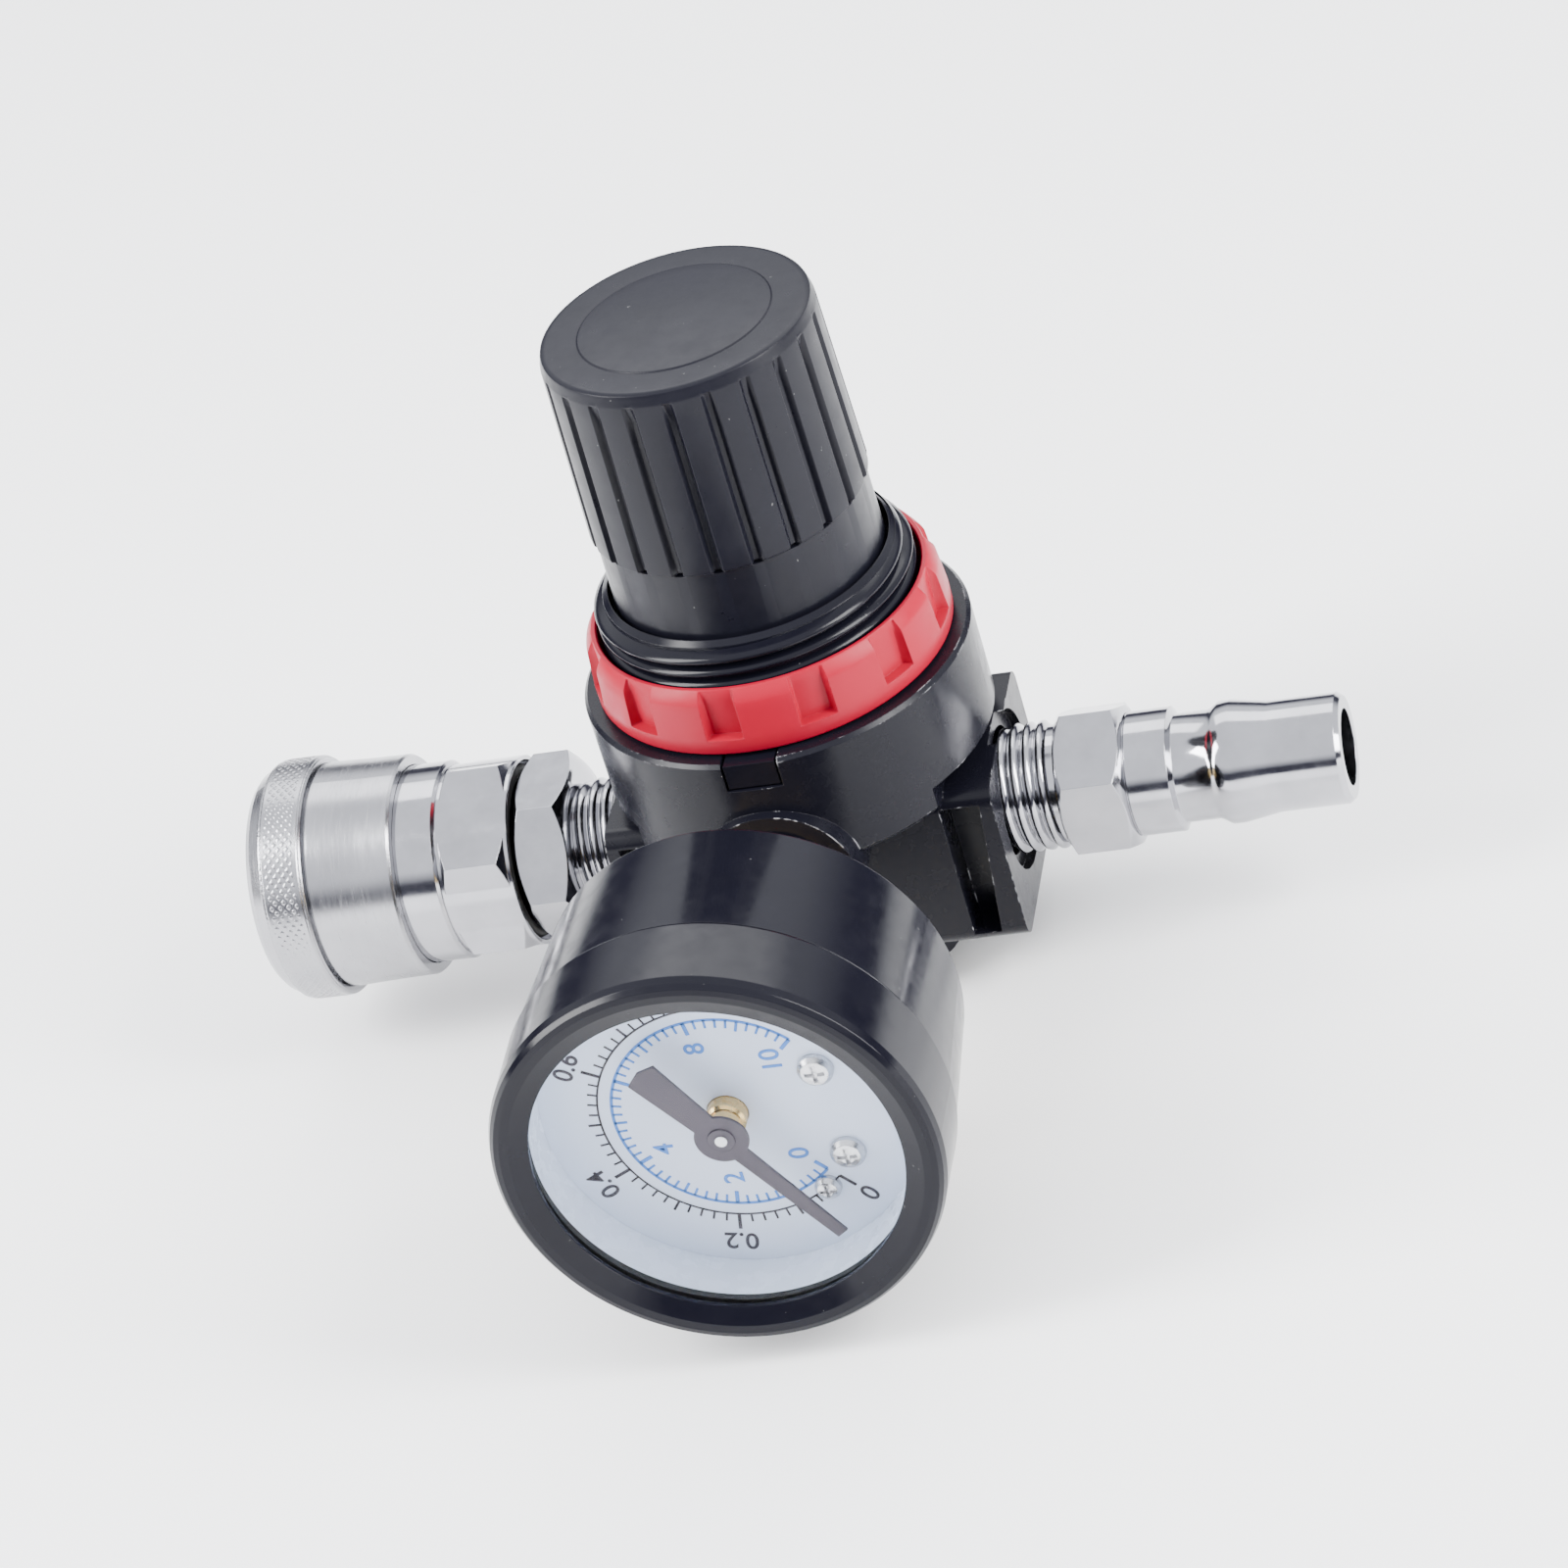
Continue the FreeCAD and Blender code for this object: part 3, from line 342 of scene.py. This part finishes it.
# name, darker and lighter colour, roughness, grain, then shine and dust where they are set
MOULDED = (
    ("black_resin", (0.003, 0.003, 0.006), (0.006, 0.006, 0.010), 0.15, 0.03, 0.17, 0.06),
    ("knob_resin", (0.004, 0.004, 0.007), (0.007, 0.007, 0.012), 0.32, 0.12, 0.18, 0.10),
    ("red_resin", (0.30, 0.002, 0.017), (0.36, 0.004, 0.024), 0.38, 0.08, 0.20),
    ("cap_resin", (0.010, 0.010, 0.014), (0.018, 0.018, 0.023), 0.33, 0.14, 0.25),
    ("rubber", (0.014, 0.014, 0.014), (0.026, 0.026, 0.026), 0.62, 0.25, 0.3),
    ("white_ring", (0.72, 0.80, 0.93), (0.78, 0.85, 0.96), 0.26, 0.04),
    ("dial_white", (0.66, 0.74, 0.90), (0.72, 0.80, 0.94), 0.40, 0.05),
    ("pointer_paint", (0.055, 0.047, 0.062), (0.080, 0.068, 0.088), 0.42, 0.08, 0.3),
    ("ink_black", (0.035, 0.032, 0.040), (0.065, 0.056, 0.068), 0.55, 0.04, 0.3),
    ("ink_blue", (0.06, 0.21, 0.64), (0.09, 0.26, 0.72), 0.55, 0.04, 0.3),
)

# name, darker and lighter colour, roughness, then stretch, brush and scale where they are set
METALS = (
    # nickel's spread of darker and lighter colour is tarnish and also painted mottled reflection
    ("nickel", (0.30, 0.30, 0.32), (0.50, 0.50, 0.53), 0.09, (1, 1, 1), 0.35, 0.45),
    ("brushed_nickel", (0.30, 0.30, 0.32), (0.44, 0.44, 0.46), 0.22, (3.0, 0.25, 0.25), 0.3),
    ("steel", (0.55, 0.55, 0.56), (0.70, 0.70, 0.71), 0.22),
    ("spring_steel", (0.42, 0.42, 0.44), (0.55, 0.55, 0.57), 0.26),
    ("brass", (0.72, 0.50, 0.20), (0.82, 0.60, 0.28), 0.24),
)

MATERIALS = {"painted_casting": painted_casting(), "clear_window": clear_window()}
MATERIALS.update({row[0]: moulded(*row) for row in MOULDED})
MATERIALS.update({row[0]: metal(*row) for row in METALS})


def paint_cad_nodes():
    """Each CAD node keeps its mesh and shading and takes its slot's material."""
    for name, node in frame["nodes"].items():
        node.data.materials.clear()
        node.data.materials.append(MATERIALS[SLOT_OF[name]])
        for polygon in node.data.polygons:
            polygon.material_index = 0


# ---- mesh helpers ----

def new_piece(name, work, body, slot_name, *replaced, material=None):
    """Object of a bmesh, riding on a body and finished from a slot; it may stand for CAD nodes."""
    mesh = bpy.data.meshes.new(name)
    work.to_mesh(mesh)
    work.free()
    piece = bpy.data.objects.new(name, mesh)
    bpy.context.scene.collection.objects.link(piece)
    mesh.materials.append(material or MATERIALS[slot_name])
    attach(piece, body)
    if replaced:
        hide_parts(*replaced)
    return piece


def smooth_by_angle(piece, degrees=32):
    """Smooth shading, with edges kept sharp from the given angle up."""
    work = bmesh.new()
    work.from_mesh(piece.data)
    for face in work.faces:
        face.smooth = True
    for edge in work.edges:
        edge.smooth = len(edge.link_faces) == 2 and edge.calc_face_angle(0.0) < math.radians(degrees)
    work.to_mesh(piece.data)
    work.free()
    return piece


def skin(work, rows, ring):
    """Quads between neighbouring rows. In a ring the last row meets the first, else both ends get caps."""
    following = rows[1:] + rows[:1] if ring else rows[1:]
    for near, far in zip(rows, following):
        for k in range(len(near)):
            m = (k + 1) % len(near)
            work.faces.new((near[k], near[m], far[m], far[k]))
    if not ring:
        work.faces.new(rows[0])
        work.faces.new(list(reversed(rows[-1])))


def around_knob_axis(along, radius, angle):
    """Point at a height along the knob's axis."""
    return radius * math.cos(angle), radius * math.sin(angle), along


def around_port_axis(along, radius, angle):
    """Point at a distance along the axis of the ports."""
    return along, radius * math.cos(angle), radius * math.sin(angle) + PORT_Z


def turned(outline, segments, shaped=None):
    """Surface turned about the knob's axis from a closed (height, radius) loop; shaped alters the radius."""
    work = bmesh.new()
    rows = []
    for i in range(segments):
        angle = 2 * math.pi * i / segments
        row = []
        for height, radius in outline:
            r = shaped(height, radius, angle) if shaped else radius
            row.append(work.verts.new(around_knob_axis(height, r, angle)))
        rows.append(row)
    skin(work, rows, True)
    bmesh.ops.remove_doubles(work, verts=work.verts, dist=1e-8)
    bmesh.ops.recalc_face_normals(work, faces=work.faces)
    return work


def reshaped(name, node, move):
    """Copy of a fixed CAD node with its vertices moved by a function, standing for that node."""
    work = bmesh.new()
    work.from_mesh(frame["nodes"][node].data)
    bmesh.ops.remove_doubles(work, verts=work.verts, dist=1e-7)
    for vertex in work.verts:
        vertex.co = move(vertex.co)
    return smooth_by_angle(new_piece(name, work, ROOT, SLOT_OF[node], node))


def in_groove(angle, count, first, half, side):
    """1 inside one of count evenly spaced grooves, 0 outside, sloping over the groove's sides."""
    step = 2 * math.pi / count
    off = abs((angle - first + step / 2) % step - step / 2)
    return max(0.0, min(1.0, (half + side - off) / side))


# ---- knob ----

def knob_outline():
    """Half section of the knob: skirt, ribs, rim, domed top, then back down the bore."""
    outline = [
        (KNOB_LOW, KNOB_BORE_R),
        (KNOB_LOW, 13.7 * MM),
        (KNOB_LOW + 0.15 * MM, 13.85 * MM),
        (KNOB_RIB_LOW - 0.1 * MM, 13.72 * MM),
        (KNOB_RIB_LOW, 13.75 * MM),
        (KNOB_RIB_LOW + 0.25 * MM, 14.12 * MM),
    ]
    rib_steps = 10
    rib_length = KNOB_GROOVE_HIGH - KNOB_RIB_LOW - 0.7 * MM
    for i in range(rib_steps + 1):
        t = i / rib_steps
        outline.append((KNOB_RIB_LOW + 0.6 * MM + t * rib_length, KNOB_RIB_R - KNOB_DRAFT * t))
    outline += [
        (KNOB_GROOVE_HIGH + 0.1 * MM, 13.72 * MM),
        (KNOB_GROOVE_HIGH + 0.35 * MM, 13.62 * MM),
        (KNOB_TOP - 0.55 * MM, 13.55 * MM),
        (KNOB_TOP - 0.2 * MM, 13.42 * MM),
        (KNOB_TOP - 0.03 * MM, 13.15 * MM),
        (KNOB_TOP, 12.8 * MM),
        (KNOB_TOP, 9.75 * MM),
        (KNOB_TOP + 0.12 * MM, 9.6 * MM),
    ]
    dome_steps = 8
    for i in range(dome_steps + 1):
        t = i / dome_steps
        rise = KNOB_DOME_STEP + KNOB_DOME_RISE * math.sin(t * math.pi / 2)
        outline.append((KNOB_TOP + rise, KNOB_DOME_R * (1 - t)))
    outline += [(KNOB_ROOF, 0.0), (KNOB_ROOF, KNOB_BORE_R)]
    return outline


def grooved(height, radius, angle):
    """Radius of the knob with its grooves, which fade out just under the rim."""
    in_ribs = KNOB_RIB_LOW - 0.01 * MM <= height <= KNOB_GROOVE_HIGH + 0.2 * MM
    if radius < 13.0 * MM or not in_ribs:
        return radius
    fade = min(1.0, max(0.0, (KNOB_GROOVE_HIGH - height) / (0.5 * MM)))
    dip = in_groove(angle, KNOB_GROOVES, KNOB_GROOVE_TURN, KNOB_GROOVE_HALF, KNOB_GROOVE_SIDE)
    return radius - KNOB_GROOVE_DEPTH * dip * fade


def knob():
    """Knob with grooves between wide ribs, a thin rim and a shallow dome on its top disc."""
    work = turned(knob_outline(), KNOB_GROOVES * 32, grooved)
    smooth_by_angle(new_piece("knob_shell", work, "knob", "knob_resin", "knob"), 28)


# ---- red panel nut ----

def nut_outline():
    """Half section of the nut, with a light chamfer at its top."""
    outline = [
        (NUT_LOW, NUT_BORE_R),
        (NUT_LOW, 18.05 * MM),
        (NUT_LOW + 0.12 * MM, 18.22 * MM),
        (NUT_LOW + 0.3 * MM, 18.3 * MM),
        (NUT_POCKET_LOW - 0.05 * MM, NUT_R),
        (NUT_POCKET_LOW + 0.05 * MM, NUT_R),
    ]
    steps = 5
    for i in range(1, steps + 1):
        t = i / steps
        outline.append((NUT_POCKET_LOW + t * (NUT_HIGH - 1.5 * MM - NUT_POCKET_LOW), NUT_R - NUT_DRAFT * t))
    outline += [
        (NUT_HIGH - 1.15 * MM, 17.93 * MM),
        (NUT_HIGH - 0.15 * MM, 17.3 * MM),
        (NUT_HIGH, 17.12 * MM),
        (NUT_HIGH, 16.75 * MM),
        (NUT_HIGH - 0.2 * MM, NUT_BORE_R),
    ]
    return outline


def pocketed(height, radius, angle):
    """Radius of the nut with its wrench pockets, open to the top."""
    if radius < 17.15 * MM or height < NUT_POCKET_LOW:
        return radius
    dip = in_groove(angle, NUT_POCKETS, NUT_POCKET_TURN, NUT_POCKET_HALF, NUT_POCKET_SIDE)
    return radius - max(0.0, radius - NUT_POCKET_R) * dip


def panel_nut():
    """Red nut with twelve wrench pockets."""
    work = turned(nut_outline(), NUT_POCKETS * 60, pocketed)
    smooth_by_angle(new_piece("panel_nut_ring", work, "panel_nut", "red_resin", "panel_nut"), 30)


# ---- threads ----

def thread_ridge(name, around, root_r, crest_r, start, end, pitch, slot):
    """Round-crested helical ridge that fades out at both ends."""
    work = bmesh.new()
    count = int((end - start - pitch) / pitch * RIDGE_STEPS)
    rows = []
    for i in range(count + 1):
        angle = 2 * math.pi * i / RIDGE_STEPS
        along = start + pitch * (0.5 + i / RIDGE_STEPS)
        grow = min(1.0, i / RIDGE_FADE, (count - i) / RIDGE_FADE)
        points = [(along + off * pitch, root_r + (crest_r - root_r) * rise * grow) for off, rise in RIDGE]
        points.append((along, root_r - 0.15 * MM))
        rows.append([work.verts.new(around(a, r, angle)) for a, r in points])
    skin(work, rows, False)
    bmesh.ops.recalc_face_normals(work, faces=work.faces)
    smooth_by_angle(new_piece(name, work, ROOT, slot), 60)


def narrowed_bonnet(co):
    """Vertex of the bonnet, drawn in to the thread root above the nut."""
    r = math.hypot(co.x, co.y)
    if co.z < BONNET_SHELF or r < 15.2 * MM:
        return co
    k = BONNET_ROOT_R / r
    return Vector((co.x * k, co.y * k, min(co.z, BONNET_TOP)))


def bonnet():
    """Bonnet with the thread that stands above the nut."""
    reshaped("bonnet_shell", "bonnet", narrowed_bonnet)
    thread_ridge("bonnet_thread", around_knob_axis, BONNET_ROOT_R - 0.1 * MM, BONNET_CREST_R,
                 NUT_HIGH - 2.2 * MM, PORT_Z + 31.75 * MM, BONNET_PITCH, "black_resin")


def narrowed_pipe(co):
    """Vertex of the plug or adapter, drawn in to the thread root where the thread runs."""
    r = math.hypot(co.y, co.z - PORT_Z)
    in_thread = PIPE_BLANK_X[0] < abs(co.x) < PIPE_BLANK_X[1] and PIPE_BLANK_R[0] < r < PIPE_BLANK_R[1]
    if not in_thread:
        return co
    k = PIPE_ROOT_R / r
    return Vector((co.x, co.y * k, PORT_Z + (co.z - PORT_Z) * k))


def pipe_threads():
    """Plug and adapter, each with its thread."""
    for node, start, end in (
        ("inlet_plug", 18.6 * MM, 25.5 * MM),
        ("socket_adapter", -25.6 * MM, -18.6 * MM),
    ):
        reshaped(node + "_turned", node, narrowed_pipe)
        thread_ridge(node + "_thread", around_port_axis, PIPE_ROOT_R - 0.05 * MM, PIPE_CREST_R,
                     start, end, PIPE_PITCH, "nickel")


# ---- knurled ring of the sleeve ----

def knurl_radius(t, angle):
    """Radius of the knurl at a share t of its width: two families of ridges that cross."""
    fade = min(1.0, KNURL_FADE * t, KNURL_FADE * (1 - t))
    one_way = abs(math.sin(KNURL_STARTS * (angle + t * KNURL_SWING) / 2))
    other_way = abs(math.sin(KNURL_STARTS * (angle - t * KNURL_SWING) / 2))
    return KNURL_R + KNURL_DEPTH * fade * min(1.0, min(one_way, other_way) * KNURL_STEEPNESS)


def sleeve_knurl():
    """Diamond knurl laid over the sleeve's grip ring."""
    low, high = KNURL_X
    angles = [2 * math.pi * i / KNURL_SEGMENTS for i in range(KNURL_SEGMENTS)]
    work = bmesh.new()
    grid = []
    for k in range(KNURL_ROWS + 1):
        t = k / KNURL_ROWS
        along = low + t * (high - low)
        grid.append([work.verts.new(around_port_axis(along, knurl_radius(t, a), a)) for a in angles])
    inner = []
    for along in KNURL_X:
        inner.append([work.verts.new(around_port_axis(along, KNURL_R - 0.5 * MM, a)) for a in angles])
    skin(work, [inner[0]] + grid + [inner[1]], True)
    bmesh.ops.recalc_face_normals(work, faces=work.faces)
    smooth_by_angle(new_piece("sleeve_knurl", work, "socket_sleeve", "brushed_nickel"), 50)


# ---- print on the dial ----

DIAL_CENTRE = Vector((0, DIAL_Y, GAUGE_Z))
PRINT_FRONT = Vector((0, -PRINT_LIFT, 0))
PRINT_BACK = Vector((0, PRINT_THICK - PRINT_LIFT, 0))


def outward_on_dial(degrees):
    """Direction from the dial's centre, from +X towards +Z."""
    return Vector((math.cos(math.radians(degrees)), 0, math.sin(math.radians(degrees))))


def on_dial(radius, degrees):
    """Point at a radius and an angle, lifted off the dial's face."""
    angle = math.radians(degrees)
    return Vector((radius * math.cos(angle), DIAL_Y - PRINT_LIFT, GAUGE_Z + radius * math.sin(angle)))


def bar_on_dial(work, inner, outer, degrees, width):
    """Small raised bar of ink along a radius."""
    along = outward_on_dial(degrees)
    across = Vector((-along.z, 0, along.x)) * width / 2
    corners = [
        DIAL_CENTRE + along * inner - across,
        DIAL_CENTRE + along * outer - across,
        DIAL_CENTRE + along * outer + across,
        DIAL_CENTRE + along * inner + across,
    ]
    skin(work, [[work.verts.new(c + lift) for c in corners] for lift in (PRINT_BACK, PRINT_FRONT)], False)


def arc_on_dial(work, radius, width, steps=180):
    """Ring of ink along the whole scale."""
    inner, outer = radius - width / 2, radius + width / 2
    section = ((inner, PRINT_FRONT), (outer, PRINT_FRONT), (outer, PRINT_BACK), (inner, PRINT_BACK))
    rows = []
    for i in range(steps + 1):
        along = outward_on_dial(SCALE_ZERO - SCALE_SWEEP * i / steps)
        rows.append([work.verts.new(DIAL_CENTRE + along * r + lift) for r, lift in section])
    skin(work, rows, False)


def scale_print(name, ring_r, ring_width, lengths, widths, ink):
    """Ring and ticks of one scale. lengths and widths go with whole, half and small divisions.

    A negative length points inwards."""
    work = bmesh.new()
    arc_on_dial(work, ring_r, ring_width)
    for i in range(SCALE_DIVISIONS + 1):
        degrees = SCALE_ZERO - SCALE_SWEEP * i / SCALE_DIVISIONS
        kind = 0 if i % 10 == 0 else 1 if i % 5 == 0 else 2
        far = ring_r + lengths[kind]
        bar_on_dial(work, min(ring_r, far), max(ring_r, far), degrees, widths[kind])
    bmesh.ops.recalc_face_normals(work, faces=work.faces)
    new_piece(name, work, ROOT, "dial_white", material=MATERIALS[ink])


def number_curve(name, text):
    """Text curve of a number, centred on the origin."""
    curve = bpy.data.curves.new(name, "FONT")
    curve.body = text
    curve.size = NUMBER_SIZE
    curve.align_x = "CENTER"
    curve.align_y = "CENTER"
    curve.extrude = PRINT_THICK / 2
    curve.offset = NUMBER_BOLD
    curve.resolution_u = 6
    return curve


def number_on_dial(name, text, place, reading, ink):
    """Number on the dial, reading along a direction in the dial's plane."""
    curve = number_curve(name, text)
    maker = bpy.data.objects.new(name + ".maker", curve)
    bpy.context.scene.collection.objects.link(maker)
    bpy.context.view_layer.update()
    mesh = bpy.data.meshes.new_from_object(maker.evaluated_get(bpy.context.evaluated_depsgraph_get()))
    bpy.data.objects.remove(maker)
    bpy.data.curves.remove(curve)
    right = reading.normalized()
    facing = Vector((0, -1, 0))
    up = facing.cross(right)
    turn = Matrix((right, up, facing)).transposed().to_4x4()
    mesh.transform(Matrix.Translation(place) @ turn)
    work = bmesh.new()
    work.from_mesh(mesh)
    bpy.data.meshes.remove(mesh)
    bmesh.ops.remove_doubles(work, verts=work.verts, dist=1e-7)
    new_piece(name, work, ROOT, "dial_white", material=MATERIALS[ink])


def dial_print():
    """Black outer scale with numbers along the arc, and blue inner scale with numbers that read upwards."""
    scale_print("outer_scale", OUTER_SCALE_R, 0.20 * MM, (1.85 * MM, 1.25 * MM, 0.95 * MM),
                (0.34 * MM, 0.25 * MM, 0.21 * MM), "ink_black")
    scale_print("inner_scale", INNER_SCALE_R, 0.30 * MM, (-1.45 * MM, -1.2 * MM, -0.95 * MM),
                (0.40 * MM, 0.28 * MM, 0.24 * MM), "ink_blue")
    upwards = Vector((0, 0, 1))
    for i, (outer, inner) in enumerate(zip(OUTER_NUMBERS, INNER_NUMBERS)):
        degrees = SCALE_ZERO - SCALE_SWEEP * i / (len(OUTER_NUMBERS) - 1)
        outward = outward_on_dial(degrees)
        clockwise = Vector((outward.z, 0, -outward.x))
        number_on_dial(f"outer_number_{i}", outer, on_dial(OUTER_NUMBER_R, degrees), clockwise, "ink_black")
        number_on_dial(f"inner_number_{i}", inner, on_dial(INNER_NUMBER_R, degrees), upwards, "ink_blue")


# ---- diaphragm whose middle follows its plate ----

def diaphragm():
    """Rubber diaphragm in two pieces: the middle rides down with the plate, the rim stays clamped."""
    low, high = DIAPHRAGM_HIGH - DIAPHRAGM_THICK, DIAPHRAGM_HIGH
    seam, gap, roll = DIAPHRAGM_SEAM_R, DIAPHRAGM_SEAM_GAP, DIAPHRAGM_ROLL
    middle = [(low, DIAPHRAGM_HOLE_R), (low, seam - gap), (high, seam - gap), (high, DIAPHRAGM_HOLE_R)]
    rim = [
        (low, seam + gap),
        (low, 11.6 * MM),
        (low - roll, 12.2 * MM),
        (low, 12.8 * MM),
        (low, DIAPHRAGM_R),
        (high, DIAPHRAGM_R),
        (high, 12.9 * MM),
        (high - roll, 12.2 * MM),
        (high, 11.5 * MM),
        (high, seam + gap),
    ]
    for name, outline, body in (
        ("diaphragm_middle", middle, "diaphragm_plate"),
        ("diaphragm_rim", rim, ROOT),
    ):
        work = turned(outline, DIAPHRAGM_SEGMENTS)
        smooth_by_angle(new_piece(name, work, body, "rubber", "diaphragm"))


# ---- springs, copied from their CAD meshes ----

def squashed_springs():
    """Copy of each spring's CAD mesh, standing for that spring."""
    for node, (joint, axis, letter, fixed, travel) in SPRINGS.items():
        low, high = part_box(node)
        length = getattr(high, letter) - getattr(low, letter)
        work = bmesh.new()
        work.from_mesh(frame["nodes"][node].data)
        piece = new_piece(node + "_coil", work, ROOT, SLOT_OF[node], node)
        smooth_by_angle(piece, 60)
        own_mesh(piece)


# ---- studio ----

def studio_floor():
    """Pale plain floor, just under the part."""
    work = bmesh.new()
    bmesh.ops.create_grid(work, x_segments=2, y_segments=2, size=FLOOR_HALF)
    mesh = bpy.data.meshes.new("floor")
    work.to_mesh(mesh)
    work.free()
    mesh.materials.append(floor_paint())
    floor = bpy.data.objects.new("floor", mesh)
    floor.location.z = CAD_BOX[0][2] - FLOOR_DROP
    bpy.context.scene.collection.objects.link(floor)


def world():
    """Pale light from above, darker near the horizon."""
    studio = bpy.data.worlds.new("studio")
    bpy.context.scene.world = studio
    studio.use_nodes = True
    tree = studio.node_tree
    split = tree.nodes.new("ShaderNodeSeparateXYZ")
    ramp = tree.nodes.new("ShaderNodeValToRGB")
    dark, light = ramp.color_ramp.elements
    dark.position = 0.20
    dark.color = (0.05, 0.05, 0.07, 1)
    light.position = 0.42
    light.color = (0.93, 0.95, 1.0, 1)
    background = tree.nodes["Background"]
    background.inputs["Strength"].default_value = WORLD_STRENGTH
    tree.links.new(tree.nodes.new("ShaderNodeTexCoord").outputs["Generated"], split.inputs[0])
    tree.links.new(split.outputs["Z"], ramp.inputs["Fac"])
    tree.links.new(ramp.outputs["Color"], background.inputs["Color"])


def lights():
    """Soft boxes to the left, to the right and behind."""
    for name, (place, width, height, power) in LIGHTS.items():
        light = bpy.data.lights.new(name, "AREA")
        light.shape = "RECTANGLE"
        light.size = width
        light.size_y = height
        light.energy = power
        lamp = bpy.data.objects.new(name, light)
        lamp.location = place
        lamp.rotation_euler = (Vector(LIGHT_TARGET) - Vector(place)).to_track_quat("-Z", "Y").to_euler()
        bpy.context.scene.collection.objects.link(lamp)


def camera():
    """Camera above and in front of the gauge, a little to the right, and rolled."""
    lens = bpy.data.cameras.new("camera")
    lens.sensor_width = SENSOR_WIDTH
    lens.lens = LENS
    lens.clip_start = 0.01
    eye = bpy.data.objects.new("camera", lens)
    turn = Matrix((CAMERA_RIGHT, -CAMERA_DOWN, -CAMERA_FORWARD)).transposed().to_4x4()
    eye.matrix_world = Matrix.Translation(CAMERA_PLACE) @ turn
    bpy.context.scene.collection.objects.link(eye)
    bpy.context.scene.camera = eye


paint_cad_nodes()
knob()
panel_nut()
bonnet()
pipe_threads()
sleeve_knurl()
dial_print()
diaphragm()
squashed_springs()
studio_floor()
world()
lights()
camera()
